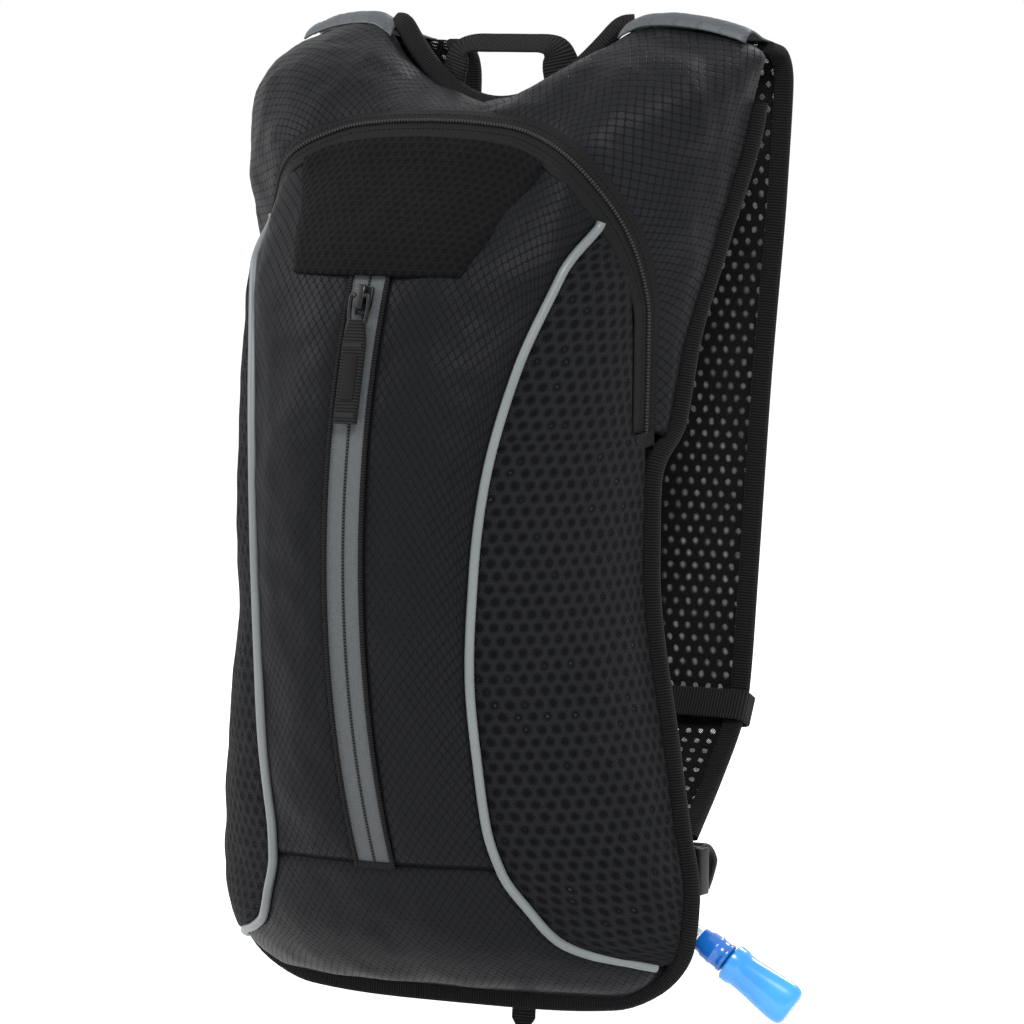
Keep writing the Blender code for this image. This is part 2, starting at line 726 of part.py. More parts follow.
def make_straps():
    for side, sign in (("right", 1), ("left", -1)):
        frames = [strap_frame(t) for t in spread(0, STRAP_STEPS, 28)]
        ribbon(f"strap_{side}", frames, STRAP_THICK, "mesh", sign)
        make_band(f"band_loop_{side}", sign)
        make_lock(side, sign)
        grid = [[shoulder_point(x, k) for x in spread(62, 115, 5)] for k in range(4)]
        grid = grid if sign > 0 else mirrored(grid)
        cloth(f"shoulder_band_{side}", [grid], "reflective", 1.0, core=(90 * sign, 50, 400))


def make_band(name, sign):
    """A loop of webbing round the strap, roomy enough at the back for the hose."""
    t = next(k for k in spread(0, STRAP_STEPS, 400) if strap_line(k)[1] <= BAND_Z)
    middle, back, inner, outer = strap_frame(t)
    gap, room = STRAP_THICK / 2 + BAND_SLACK, HOSE_OD + 4 * FIT
    low, high = inner - 2.6, outer + 1.5

    def loop(grow):
        return [
            (low - grow, -gap - grow),
            (high + grow, -gap - grow),
            (high + grow, gap + grow),
            (low + 26, gap + room * 0.5 + grow),
            (low + 15, gap + room + grow),
            (low - grow, gap + room + grow),
        ]

    bm = bmesh.new()
    down = Vector((0, back.z, -back.y))
    rings = []
    for grow in (0.0, BAND_THICK):
        for lift in (-0.5, 0.5):
            rise = down * BAND_HIGH * lift
            spots = [middle + back * k + rise + Vector((x * sign, 0, 0)) for x, k in loop(grow)]
            rings.append([bm.verts.new(spot) for spot in spots])
    inside_low, inside_high, outside_low, outside_high = rings
    walls = [(inside_high, inside_low), (outside_low, outside_high)]
    walls += [(inside_low, outside_low), (outside_high, inside_high)]
    count = len(inside_low)
    for i in range(count):
        j = (i + 1) % count
        for a, b in walls:
            bm.faces.new((a[i], a[j], b[j], b[i]))
    bmesh.ops.recalc_face_normals(bm, faces=bm.faces)
    mesh_object(name, bm, "webbing")


def make_lock(side, sign):
    """A ladder lock, and the webbing from the bag's base round its lower bar."""
    x, y, z = LOCK_CENTRE
    x *= sign
    wide, deep, high = LOCK_SIZE
    bar = z - high / 2 + 5.0
    body = block(f"ladder_lock_{side}", (x, y, z), LOCK_SIZE, "plastic", bevel=2.4)
    for k, (low, tall) in enumerate(((bar, 4.0), (bar + 7.0, 4.6))):
        slot = (WEBBING - 1, 30, tall)
        cut(body, block(f"lock_slot_{side}_{k}", (x, y, low + tall / 2), slot, None, bevel=0, group=CUTTERS))
    off = deep / 2 + WEBBING_THICK / 2 + 0.6
    path = [(y + off, bar - 9), (y + off, bar - 2), (y + off - 1, bar + 1.5), (y + 2.5, bar + 2.1)]
    path += [(y - 2.5, bar + 2.1), (y + 1 - off, bar + 1.5), (y - off, bar - 2), (y - off, bar - 9)]
    path += [(2.6, 32)]
    middles = [abs(x)] * (len(path) - 1) + [abs(x) - 5]
    frames = ribbon_frames(path, middles, (WEBBING - 4) / 2)
    ribbon(f"lock_webbing_{side}", frames, WEBBING_THICK, "webbing", sign)


def make_base_tab():
    points = [(26, -3), (38, -3), (38, -10), (32, -16), (26, -10)]
    outline("base_tab", points, 2.0, "webbing", 0)


# ---------------------------------------------------------------- reservoir


def tank_rows(shrink):
    """Level sections of the reservoir, drawn in by shrink."""
    rows = []
    low, high = TANK_LOW + shrink, TANK_HIGH - shrink
    for share in spread(0, 1, 13):
        z = low + (high - low) * share
        swell = max(math.sin(math.pi * min(max(share, 0.004), 0.996)), 0.02) ** 0.42
        half = TANK_HALF * (0.72 + 0.28 * swell) - shrink
        deep = max(TANK_HALF_DEPTH * swell - shrink, 1.0)
        row = []
        for k in range(20):
            angle = 2 * math.pi * k / 20
            c, s = math.cos(angle), math.sin(angle)
            x = math.copysign(abs(c) ** 0.8, c) * half
            row.append(Vector((x, TANK_Y + deep * math.copysign(abs(s) ** 0.9, s), z)))
        rows.append(row)
    return rows


def closed_loft(name, rows, material, group=None):
    bm = bmesh.new()
    loops = [[bm.verts.new(p) for p in row] for row in rows]
    for low, high in zip(loops, loops[1:]):
        for i in range(len(low)):
            j = (i + 1) % len(low)
            bm.faces.new((low[i], low[j], high[j], high[i]))
    bm.faces.new(loops[0][::-1])
    bm.faces.new(loops[-1])
    bmesh.ops.recalc_face_normals(bm, faces=bm.faces)
    return mesh_object(name, bm, material, group=group)


def make_reservoir():
    shell = closed_loft("reservoir", tank_rows(0), "tank_film")
    cut(shell, closed_loft("reservoir_space", tank_rows(TANK_WALL), None, CUTTERS))
    front = TANK_Y - TANK_HALF_DEPTH
    out = (0, -1, 0)
    outer = FILL_BORE + FILL_WALL
    mouth = [(0, 30), (outer + FIT, 30), (outer + FIT, -10), (0, -10)]
    cut(shell, turned("fill_hole", mouth, (0, front, FILL_Z), out, None, group=CUTTERS))
    seat = (0, front + 3.0, FILL_Z)
    turned("fill_collar", ring(FILL_BORE, outer, 0, FILL_HIGH), seat, out, "plastic")
    gasket = ring(FILL_BORE + 0.6, outer - 0.4, FILL_HIGH + 0.3, FILL_HIGH + 1.6)
    turned("cap_gasket", gasket, seat, out, "seal")
    inside, skirt, top = outer + 0.5, outer + 0.5 + CAP_WALL, FILL_HIGH + 2.0
    profile = [(0, top + CAP_WALL), (skirt, top + CAP_WALL), (skirt, 5.0), (inside, 5.0)]
    profile += [(inside, top), (0, top)]
    pivot = empty("cap_axis", seat, ORIGIN)
    cap = turned("fill_cap", profile, (0, 0, 0), out, "blue_dark", pivot, 32)
    cap.matrix_basis = Matrix.Translation(Vector(seat) * MM) @ cap.matrix_basis
    spigot = HOSE_OD / 2 - 1.8
    hole = [(0, 20), (spigot + 1.0 + FIT, 20), (spigot + 1.0 + FIT, -8), (0, -8)]
    cut(shell, turned("outlet_hole", hole, (0, front, OUTLET_Z), out, None, steps=24, group=CUTTERS))
    points = [(0, front + 4, OUTLET_Z), (0, front - 7, OUTLET_Z), (1, front - 10, OUTLET_Z + 1.2)]
    points += [(3, front - 11, OUTLET_Z + 5), (8, front - 11, OUTLET_Z + 16)]
    tube("outlet_elbow", points, spigot, "plastic", 2)
    washer = ring(spigot + FIT, spigot + 3.2, 3.0, 5.0)
    turned("outlet_seal", washer, (0, front, OUTLET_Z), out, "seal", steps=24)
    back = upper_back(0, 0.72)
    path = [(TANK_Y + 2, TANK_HIGH + 0.5), (TANK_Y + 4, TANK_HIGH + 10), (back.y - 14, back.z - 12)]
    path += [(back.y - 2.6, back.z)]
    ribbon("hanger_strip", ribbon_frames(path, [0] * 4, 35), WEBBING_THICK, "webbing", 1)


# ---------------------------------------------------------------- hose and valve


def hose_line(points, spacing=24):
    """Points read from a smooth curve through the route's own points."""
    curve = along(points)
    fine = [curve(t) for t in spread(0, len(points) - 1, 60 * len(points))]
    short = 5.0
    near_start = next(p for p in fine if (p - fine[0]).length > short)
    near_end = next(p for p in reversed(fine) if (p - fine[-1]).length > short)
    line, run = [fine[0], near_start], 0.0
    for a, b in zip(fine, fine[1:]):
        run += (b - a).length
        if run >= spacing and (b - near_end).length > spacing / 2:
            line.append(b)
            run = 0.0
    return line + [near_end, fine[-1]]


INNER_ROUTE = [(8.4, -53, 91), (24, -54, 120), (42, -53, 165), (50, -50, 220), (51, -46, 280), (49, -34, 330)]
INNER_ROUTE += [(42, -12, 366), (33, 10, 386), (30, 25, 392), (30, 34.2, 392)]
FREE_ROUTE = [(30, 34.8, 392), (30, 44, 392), (31, 62, 393), (34, 82, 396), (38, 98, 391), (44, 104, 372)]
FREE_ROUTE += [(49, 102, 345), (50, 97, 300), (50.5, 91.5, 245), (53, 86, 190), (57, 81.5, 150)]
FREE_ROUTE += [(59, 76.5, 128), (64, 64, 100), (74, 46, 72), (88, 28, 50), (102.4, 17.8, 39), (112, 20, 32)]


def make_hoses():
    tube("inner_hose", hose_line(INNER_ROUTE), HOSE_OD / 2, "hose_clear", 2)
    tube("drink_hose", hose_line(FREE_ROUTE), HOSE_OD / 2, "hose_clear", 2)
    bore = HOSE_OD / 2 + FIT
    profile = [(bore, 4), (12, 4), (12, 2), (8, 1.2), (8, -3), (bore, -3), (bore, 4)]
    turned("port_grommet", profile, PORT, (0, 1, 0), "plastic", steps=24)


def make_valve():
    way = (VALVE_TIP - VALVE_START).normalized()
    start = VALVE_START + way * 2 * FIT
    neck = [(0, 20), (4.2, 20), (4.2, 16.5), (6.75, 16), (6.75, 6), (5.6, 4), (5.2, 0), (0, 0)]
    turned("valve_collar", neck, start, way, "blue_dark", steps=24)
    mouth = [(0, 53), (4, 52.6), (7, 51), (8.2, 47.5), (7.6, 30), (8.4, 24), (9, 21.6), (8.6, 17.4)]
    mouth += [(4.7, 17), (4.7, 20.5), (0, 20.5)]
    pivot = empty("mouthpiece_axis", start, ORIGIN)
    piece = turned("mouthpiece", mouth, (0, 0, 0), way, "blue_light", pivot, 24)
    piece.matrix_basis = Matrix.Translation(start * MM) @ piece.matrix_basis


make_front()
make_sides()
make_lining()
make_pocket_zip()
make_main_zip()
make_yoke()
make_back()
make_bindings()
make_haul_loop()
make_straps()
make_base_tab()
make_reservoir()
make_hoses()
make_valve()
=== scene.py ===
"""The looks of a small hydration backpack: its cloth, webbing, zips, straps, hose, valve and reservoir.

Shapes are worked out in millimetres in the bag's own frame, with Z 0 at the base and Y 0 at the back seam.
HANG is the point of that frame which the haul loop's hook holds, and which is the model's origin.
"""

import math

import bmesh
import bpy
import numpy as np
from mathutils import Matrix, Vector, noise


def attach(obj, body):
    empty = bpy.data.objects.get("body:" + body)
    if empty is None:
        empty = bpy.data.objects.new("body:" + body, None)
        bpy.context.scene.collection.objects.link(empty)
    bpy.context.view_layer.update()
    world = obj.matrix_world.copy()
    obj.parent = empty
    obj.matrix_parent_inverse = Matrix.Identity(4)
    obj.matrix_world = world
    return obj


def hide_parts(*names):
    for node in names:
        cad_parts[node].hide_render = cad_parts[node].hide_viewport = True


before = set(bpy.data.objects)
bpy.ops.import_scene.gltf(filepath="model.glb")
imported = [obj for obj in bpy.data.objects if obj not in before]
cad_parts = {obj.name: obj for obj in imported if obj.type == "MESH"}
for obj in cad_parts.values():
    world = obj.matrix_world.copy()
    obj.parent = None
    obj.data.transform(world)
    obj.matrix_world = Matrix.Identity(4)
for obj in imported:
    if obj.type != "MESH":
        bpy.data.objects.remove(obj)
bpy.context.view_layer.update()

MM = 0.001
HANG = np.array((0.0, 42.4, 430.0))


# ---------------------------------------------------------------- shader maths


class Wire:
    """A shader socket that can be used in sums."""

    def __init__(self, finish, socket):
        self.finish, self.socket = finish, socket

    def calc(self, operation, *others):
        return self.finish.node("ShaderNodeMath", {"operation": operation}, [self, *others])

    def __add__(self, other):
        return self.calc("ADD", other)

    def __sub__(self, other):
        return self.calc("SUBTRACT", other)

    def __rsub__(self, other):
        return self.finish.node("ShaderNodeMath", {"operation": "SUBTRACT"}, [other, self])

    def __mul__(self, other):
        return self.calc("MULTIPLY", other)

    def __truediv__(self, other):
        return self.calc("DIVIDE", other)

    __radd__, __rmul__ = __add__, __mul__


class Finish:
    """A material under construction."""

    def __init__(self, name, colour, roughness=0.6, **fixed):
        self.material = bpy.data.materials.new(name)
        self.material.use_nodes = True
        self.tree = self.material.node_tree
        self.shader = self.tree.nodes["Principled BSDF"]
        self.shader.inputs["Base Color"].default_value = (*colour, 1)
        self.shader.inputs["Roughness"].default_value = roughness
        for socket, value in fixed.items():
            self.shader.inputs[socket.replace("_", " ")].default_value = value

    def node(self, kind, settings=None, inputs=(), out=0):
        """Adds a node: its settings first, then the values or links of its sockets, by place or by name."""
        made = self.tree.nodes.new(kind)
        for name, value in (settings or {}).items():
            setattr(made, name, value)
        pairs = inputs.items() if isinstance(inputs, dict) else enumerate(inputs)
        for key, value in pairs:
            if isinstance(value, Wire):
                self.tree.links.new(value.socket, made.inputs[key])
            else:
                made.inputs[key].default_value = value
        return Wire(self, made.outputs[out])

    def feed(self, name, value):
        self.tree.links.new(value.socket, self.shader.inputs[name])

    def uv(self):
        """The cloth's own coordinates, across and along, in millimetres."""
        both = self.node("ShaderNodeTexCoord", out=2)
        return [self.node("ShaderNodeSeparateXYZ", None, [both], k) for k in (0, 1)]

    def place(self):
        """The place on the object, in metres."""
        return self.node("ShaderNodeTexCoord", out=3)

    def speckle(self, scale, detail=2.0):
        """Noise between 0 and 1, with scale in turns a metre."""
        inputs = {"Vector": self.place(), "Scale": scale, "Detail": detail}
        return self.node("ShaderNodeTexNoise", {"noise_dimensions": "3D"}, inputs)

    def blend(self, low, high, share):
        """A colour between two, by share."""
        low = low if isinstance(low, Wire) else (*low, 1)
        high = high if isinstance(high, Wire) else (*high, 1)
        return self.node("ShaderNodeMix", {"data_type": "RGBA"}, {0: share, 6: low, 7: high}, 2)

    def ramp(self, value, low, high):
        """0 below low, 1 above high, and smooth between."""
        inputs = [value, low, high, 0.0, 1.0]
        return self.node("ShaderNodeMapRange", {"interpolation_type": "SMOOTHSTEP"}, inputs)

    def relief(self, height, depth, strength):
        """Bump from a height between 0 and 1, depth being in metres."""
        inputs = {"Height": height, "Distance": depth, "Strength": strength}
        self.feed("Normal", self.node("ShaderNodeBump", None, inputs))


def wave(value, pitch):
    """Cosine of a length, one turn every pitch."""
    return (value * (2 * math.pi / pitch)).calc("COSINE")


def honeycomb(u, v, pitch):
    """Distance from the middle of a honeycomb's cell, as a share of the pitch: 0.5 where two cells meet."""
    tall = pitch * math.sqrt(3)
    found = []
    for shift in (0.0, 0.5):
        across = ((u / pitch + shift).calc("FRACT") - 0.5).calc("ABSOLUTE")
        up = ((v / tall + shift).calc("FRACT") - 0.5).calc("ABSOLUTE") * math.sqrt(3)
        found.append((across * across + up * up).calc("SQRT"))
    return found[0].calc("MINIMUM", found[1])


WEAVE_PITCH = 0.62  # the pitches of the cloths' finest threads
KNIT_PITCH = 1.7
HOLE_PITCH = 6.4  # holes of the strap mesh
NET_PITCH = 1.15  # the net across those holes
STITCH_GAP = 11.0  # zigzag rows on the shoulder bands


def ripstop(name, wide, tall, link, dark, pale):
    """Dark coated nylon with a net of raised threads: link 1 gives diamonds, and less gives wavy columns.

    wide and tall are the net's pitches.
    """
    made = Finish(name, dark, 0.5, Specular_IOR_Level=0.07, Sheen_Weight=0.004, Sheen_Roughness=0.4)
    u, v = made.uv()
    net = (wave(u, wide) + wave(v, tall) * link).calc("ABSOLUTE")
    cell = made.ramp(net, 0.06, 0.42)
    weave = wave(u, WEAVE_PITCH) * wave(v, WEAVE_PITCH) * 0.5 + 0.5
    cloudy = made.speckle(26.0, 3.0)
    # painted sheen and shade: the raised cells are paler and the sunken lines of the net darker
    made.feed("Base Color", made.blend(dark, pale, cell * 0.6 + cloudy * 0.3 + weave * 0.1))
    made.feed("Roughness", 0.62 - cell * 0.16 - cloudy * 0.1)
    made.relief(cell * 0.9 + weave * 0.10 + made.speckle(900.0, 1.0) * 0.12, 0.00042, 0.9)
    return made.material


def air_mesh(name, pitch, dark, pale, deep=0.0017, glints=0.0):
    """Knitted spacer mesh: a honeycomb of dimples under a fine net, with painted shade in the dimples and, where
    glints is given, painted glints where a few threads would catch the light.
    """
    made = Finish(name, dark, 0.82, Sheen_Weight=0.01, Sheen_Roughness=0.55, Specular_IOR_Level=0.07)
    u, v = made.uv()
    stretch = made.speckle(110.0, 2.0)
    far = honeycomb(u + stretch * (pitch * 0.22), v - stretch * (pitch * 0.3), pitch)
    wall = made.ramp(far, 0.16, 0.46)
    knit = made.ramp(honeycomb(u, v, KNIT_PITCH), 0.20, 0.44)
    # painted shade: the pits of the dimples are darker than their walls
    tone = wall * 0.62 + wall * knit * 0.30 + made.speckle(60.0) * 0.14
    colour = made.blend(dark, pale, tone)
    if glints:
        # painted glints: pale specks at the middle of some dimples, for light that threads catch
        spot = 1 - made.ramp(far, 0.03, 0.15)
        chosen = made.ramp(made.speckle(150.0, 1.0), 0.60, 0.78)
        colour = made.blend(colour, (0.13, 0.14, 0.16), spot * chosen * glints)
    made.feed("Base Color", colour)
    made.feed("Roughness", 0.72 + knit * 0.16)
    made.relief(wall * 0.7 + knit * 0.3, deep, 0.8)
    return made.material


def strap_mesh(name):
    """Perforated strap mesh: round holes with a fine net across them."""
    dark, pale = (0.0022, 0.0022, 0.0026), (0.0105, 0.0105, 0.012)
    made = Finish(name, dark, 0.8, Sheen_Weight=0.01, Specular_IOR_Level=0.07)
    u, v = made.uv()
    far = honeycomb(u, v, HOLE_PITCH)
    hole = 1 - made.ramp(far, 0.235, 0.275)
    net = wave(u + v, NET_PITCH).calc("MAXIMUM", wave(u - v, NET_PITCH))
    thread = made.ramp(net, 0.15, 0.45)
    rim = made.ramp(far, 0.22, 0.36)
    weave = wave(u, 1.0) * wave(v, 1.0) * 0.5 + 0.5
    made.feed("Base Color", made.blend(dark, pale, weave * 0.5 + thread * hole * 0.5))
    made.feed("Alpha", 1 - hole * (1 - thread))
    made.relief(rim * 0.7 + weave * 0.3, 0.0008, 0.8)
    return made.material


def webbing(name, rib=1.45, dark=(0.0010, 0.0010, 0.0011), pale=(0.0200, 0.0200, 0.0210)):
    """Grosgrain: ribs across the tape, with threads along them."""
    made = Finish(name, dark, 0.78, Sheen_Weight=0.012, Sheen_Roughness=0.5, Specular_IOR_Level=0.09)
    u, v = made.uv()
    ribs = wave(v, rib) * 0.5 + 0.5
    thread = wave(u + ribs * 0.2, 0.7) * 0.5 + 0.5
    fluff = made.speckle(1400.0, 1.0)
    made.feed("Base Color", made.blend(dark, pale, ribs * 0.5 + ribs * thread * 0.3 + fluff * 0.12))
    made.relief(ribs * 0.75 + thread * 0.2 + fluff * 0.2, 0.0006, 1.0)
    return made.material


def reflective(name, colour, pale, zigzag=False):
    """Grey coated reflective tape, with an optional zigzag stitch."""
    made = Finish(name, colour, 0.42, Metallic=0.1, Specular_IOR_Level=0.35)
    u, v = made.uv()
    grain = made.speckle(1800.0, 2.0)
    cloudy = made.speckle(30.0, 2.0)
    height = grain * 0.4
    tone = grain * 0.5 + cloudy * 0.5
    if zigzag:
        saw = ((u / 3.2).calc("FRACT") - 0.5).calc("ABSOLUTE") * 4.4
        away = (v / STITCH_GAP).calc("FRACT") * STITCH_GAP - 4.2 - saw
        stitch = 1 - made.ramp(away.calc("ABSOLUTE"), 0.25, 0.6)
        height = height + stitch
        tone = tone - stitch * 0.4
    made.feed("Base Color", made.blend(colour, pale, tone))
    made.feed("Roughness", 0.34 + cloudy * 0.18)
    made.relief(height, 0.0002, 0.7)
    return made.material


def zip_cloth(name, dark, pale):
    """Zip tape: fine herringbone."""
    made = Finish(name, dark, 0.62, Sheen_Weight=0.01, Specular_IOR_Level=0.1)
    u, v = made.uv()
    bone = wave(v + (u / 2.4).calc("FRACT").calc("PINGPONG", 0.5) * 2.0, 0.8) * 0.5 + 0.5
    made.feed("Base Color", made.blend(dark, pale, bone * 0.5 + made.speckle(500.0) * 0.4))
    made.relief(bone, 0.0002, 0.7)
    return made.material


def moulded(name, colour, pale, roughness, **fixed):
    """Moulded plastic with a faint grain and a mottled gloss."""
    made = Finish(name, colour, roughness, **fixed)
    cloudy = made.speckle(45.0, 3.0)
    grain = made.speckle(2600.0, 1.0)
    made.feed("Base Color", made.blend(colour, pale, cloudy))
    made.feed("Roughness", roughness - 0.08 + cloudy * 0.16)
    made.relief(grain * 0.6 + cloudy * 0.4, 0.00006, 0.5)
    return made.material


def painted_metal(name):
    """Black paint on metal, worn through to a paler tone in spots."""
    made = Finish(name, (0.012, 0.012, 0.013), 0.32, Metallic=0.7)
    worn = made.ramp(made.speckle(320.0, 4.0), 0.62, 0.75)
    made.feed("Base Color", made.blend((0.010, 0.010, 0.011), (0.09, 0.09, 0.09), worn))
    made.feed("Roughness", 0.28 + made.speckle(90.0) * 0.2)
    return made.material


def film(name, colour, pale, roughness, see_through, **fixed):
    """Clear soft plastic: hose, reservoir film."""
    made = Finish(name, colour, roughness, **fixed)
    cloudy = made.speckle(38.0, 3.0)
    made.feed("Base Color", made.blend(colour, pale, cloudy))
    made.feed("Roughness", roughness + cloudy * 0.12)
    made.shader.inputs["Transmission Weight"].default_value = see_through
    made.relief(cloudy, 0.0004, 0.4)
    return made.material


# Dark and pale tones. In the nylons the paler raised cells are painted sheen and the darker net lines painted shade;
# in the meshes the darker pits are painted shade.
BLACK_NYLON_SHADED = (0.0012, 0.0013, 0.0016), (0.0056, 0.0060, 0.0076)
YOKE_NYLON_SHADED = (0.0010, 0.0011, 0.0014), (0.0092, 0.0096, 0.0116)
SIDE_MESH_SHADED = (0.0006, 0.0007, 0.0010), (0.0088, 0.0093, 0.0114)
PATCH_MESH_SHADED = (0.0004, 0.0004, 0.0006), (0.0026, 0.0027, 0.0033)
BACK_MESH_SHADED = (0.0025, 0.0025, 0.003), (0.012, 0.012, 0.0135)
BINDING = (0.0010, 0.0010, 0.0011), (0.0150, 0.0150, 0.0158)
ZIP_BLACK = (0.0018, 0.0020, 0.0018), (0.0062, 0.0065, 0.0061)
ZIP_GREY = (0.050, 0.056, 0.060), (0.086, 0.094, 0.099)
COIL = (0.0012, 0.0012, 0.0012), (0.050, 0.050, 0.048)
PIPING_GREY = (0.085, 0.095, 0.100), (0.160, 0.173, 0.178)
SHOULDER_GREY = (0.034, 0.039, 0.043), (0.060, 0.068, 0.073)
BUCKLE = (0.0022, 0.0022, 0.0025), (0.007, 0.007, 0.0075)
COLLAR_BLUE = (0.004, 0.085, 0.36), (0.010, 0.130, 0.47)
BITE_BLUE = (0.004, 0.17, 0.52), (0.030, 0.34, 0.74)
HOSE_CLEAR = (0.42, 0.49, 0.54), (0.56, 0.63, 0.68)
TANK_CLEAR = (0.32, 0.52, 0.70), (0.50, 0.68, 0.82)
RUBBER = (0.004, 0.004, 0.004), (0.007, 0.007, 0.007)
THREAD = (0.004, 0.004, 0.005), (0.012, 0.012, 0.013)

LOOKS = {
    "front": ripstop("front_ripstop", 4.3, 5.9, 0.90, *BLACK_NYLON_SHADED),
    "base": ripstop("base_ripstop", 4.3, 5.9, 0.90, *BLACK_NYLON_SHADED),
    "yoke": ripstop("yoke_ripstop", 5.4, 5.2, 1.0, *YOKE_NYLON_SHADED),
    "side": air_mesh("side_air_mesh", 6.6, *SIDE_MESH_SHADED, glints=0.2),
    "patch": air_mesh("patch_air_mesh", 4.7, *PATCH_MESH_SHADED, 0.0008),
    "back": air_mesh("back_air_mesh", 5.2, *BACK_MESH_SHADED, 0.0009),
    "strap": strap_mesh("perforated_strap_mesh"),
    "webbing": webbing("grosgrain"),
    "binding": webbing("binding_tape", 1.3, *BINDING),
    "main_tape": zip_cloth("main_zip_cloth", *ZIP_BLACK),
    "pocket_tape": zip_cloth("pocket_zip_cloth", *ZIP_GREY),
    "coil": webbing("zip_coil", 1.5, *COIL),
    "piping": reflective("piping_reflective", *PIPING_GREY),
    "shoulder": reflective("shoulder_reflective", *SHOULDER_GREY, True),
    "metal": painted_metal("black_zip_metal"),
    "plastic": moulded("black_buckle_plastic", *BUCKLE, 0.42, Specular_IOR_Level=0.14),
    "blue_dark": moulded("blue_collar", *COLLAR_BLUE, 0.2, Coat_Weight=0.4),
    "blue_light": film("blue_bite_silicone", *BITE_BLUE, 0.16, 0.08, Coat_Weight=0.6),
    "hose": film("clear_hose", *HOSE_CLEAR, 0.18, 0.45, Coat_Weight=0.3),
    "tank": film("reservoir_film", *TANK_CLEAR, 0.2, 0.5),
    "seal": moulded("black_rubber", *RUBBER, 0.6, Specular_IOR_Level=0.08),
    "thread": moulded("grey_thread", *THREAD, 0.7, Specular_IOR_Level=0.15),
}


# ---------------------------------------------------------------- curves and the bag's surface


def smooth(knots, free=False):
    """A smooth curve through (place, value) knots, held level beyond both ends. Unless free, it never overshoots."""
    places = np.array([k[0] for k in knots], float)
    values = np.array([k[1] for k in knots], float)
    slopes = np.gradient(values, places, axis=0)
    if not free:
        rise = (np.diff(values, axis=0).T / np.diff(places)).T
        same = rise[:-1] * rise[1:] > 0
        total = np.where(same, rise[:-1] + rise[1:], 1.0)
        slopes[1:-1] = np.where(same, 2 * rise[:-1] * rise[1:] / total, 0.0)

    def at(place):
        place = min(max(place, places[0]), places[-1])
        i = min(int(np.searchsorted(places, place, side="right")) - 1, len(places) - 2)
        width = places[i + 1] - places[i]
        t = (place - places[i]) / width
        start = (2 * t**3 - 3 * t**2 + 1) * values[i] + (t**3 - 2 * t**2 + t) * width * slopes[i]
        return start + (3 * t**2 - 2 * t**3) * values[i + 1] + (t**3 - t**2) * width * slopes[i + 1]

    return at


def along(points):
    """A smooth curve through the points, which are at 0, 1, 2 and so on."""
    return smooth(list(enumerate(points)), free=True)


def spread(low, high, count):
    return list(np.linspace(low, high, count))


def drawn(points, count):
    """Count points of the smooth curve through the given ones."""
    at = along(points)
    return [at(t) for t in spread(0, len(points) - 1, count)]


def running(points):
    """Running length along a line of points."""
    return np.concatenate([[0], np.cumsum(np.linalg.norm(np.diff(points, axis=0), axis=1))])


def eased(points, times):
    """A line of points with its kinks evened out, and its ends kept."""
    for _ in range(times):
        points[1:-1] = (points[:-2] + points[1:-1] * 2 + points[2:]) / 4
    return points


def limit(value):
    """The value, or the nearer of 0 and 1 when it is beyond them."""
    return min(max(value, 0), 1)


SIDES = (("right", 1), ("left", -1))
ZIP_ARC_RADIUS, ZIP_ARC_Y, ZIP_ARC_Z = 350.0, 245.0, 205.0
POCKET_LOW, POCKET_HIGH, SECTION_TOP = 69.0, 334.0, 335.0
POWER = 2.1  # exponent of the body's level sections
TAPE_HALF = 8.6  # from the pocket zip's middle to the front panels
HALF_WIDTHS = [(0, 74), (8, 94), (16, 106), (30, 115), (55, 117.5), (85, 112.5), (118, 107.5)]
HALF_WIDTHS += [(200, 96.5), (262, 97.5), (335, 99)]
half_width = smooth(HALF_WIDTHS)
PIPING = [(18, 114), (25, 103), (30, 88), (36, 78), (50, 69), (68, 60), (90, 56.5), (118, 56)]
PIPING += [(155, 55), (204, 57), (240, 60), (293, 69), (330, 79), (360, 87)]
PIPING_TOP = 357.0
piping_x = smooth(PIPING)
seam_depth = smooth([(0, 2.0), (257, 2.0), (264, 13.4), (300, 13.4), (335, 17.0)])
ZIP_LINE = [(98, -5, 262), (99, -5, 300), (98.6, -6, 325), (92, -15, 355), (75, -29, 383), (50, -26, 396)]
ZIP_LINE += [(25, -26, 400), (0, -26, 401)]
ZIP_INNER = [(97.4, -13, 262), (98, -13, 300), (97.2, -14, 323), (88.5, -22, 350), (71, -35, 377)]
ZIP_INNER += [(47, -32, 389.5), (24, -33, 393), (0, -33, 394)]
ZIP_OUTER = [(98.6, 1, 262), (100, 1, 300), (100.6, 0, 326), (94.6, -10, 358.5), (77, -25, 388)]
ZIP_OUTER += [(51, -20, 400.5), (25, -20, 404), (0, -20, 405)]
YOKE_EDGE = [(102, 13, 258), (106, 24, 305), (112, 38, 345), (119, 62, 408), (120, 60, 434)]
YOKE_EDGE += [(72, 46, 443), (40, 38, 421), (0, 33, 406)]
zip_line, zip_inner, zip_outer, yoke_edge = map(along, (ZIP_LINE, ZIP_INNER, ZIP_OUTER, YOKE_EDGE))
TOP_STEPS = len(ZIP_LINE) - 1
TOP_EDGE = [(0, (-33, 394)), (24, (-33, 393)), (47, (-32, 389.5)), (71, (-35, 377))]
TOP_EDGE += [(88.5, (-22, 350)), (95.5, (-17.6, 335.5))]
top_edge = smooth(TOP_EDGE)


def arc_depth(z):
    """How far the pocket zip's arc lies in front of the back seam."""
    return math.sqrt(ZIP_ARC_RADIUS**2 - (z - ZIP_ARC_Z) ** 2) - ZIP_ARC_Y


ARC_FOOT = 60  # the front's middle line follows the zip's arc from here up
LOW_DEPTHS = [(0, 5), (5, 19), (15, 41), (36, 62)]
low_depth = smooth(LOW_DEPTHS + [(z, arc_depth(z)) for z in (ARC_FOOT, ARC_FOOT + 10)])


def depth(z):
    return low_depth(z) if z < ARC_FOOT else arc_depth(min(z, SECTION_TOP))


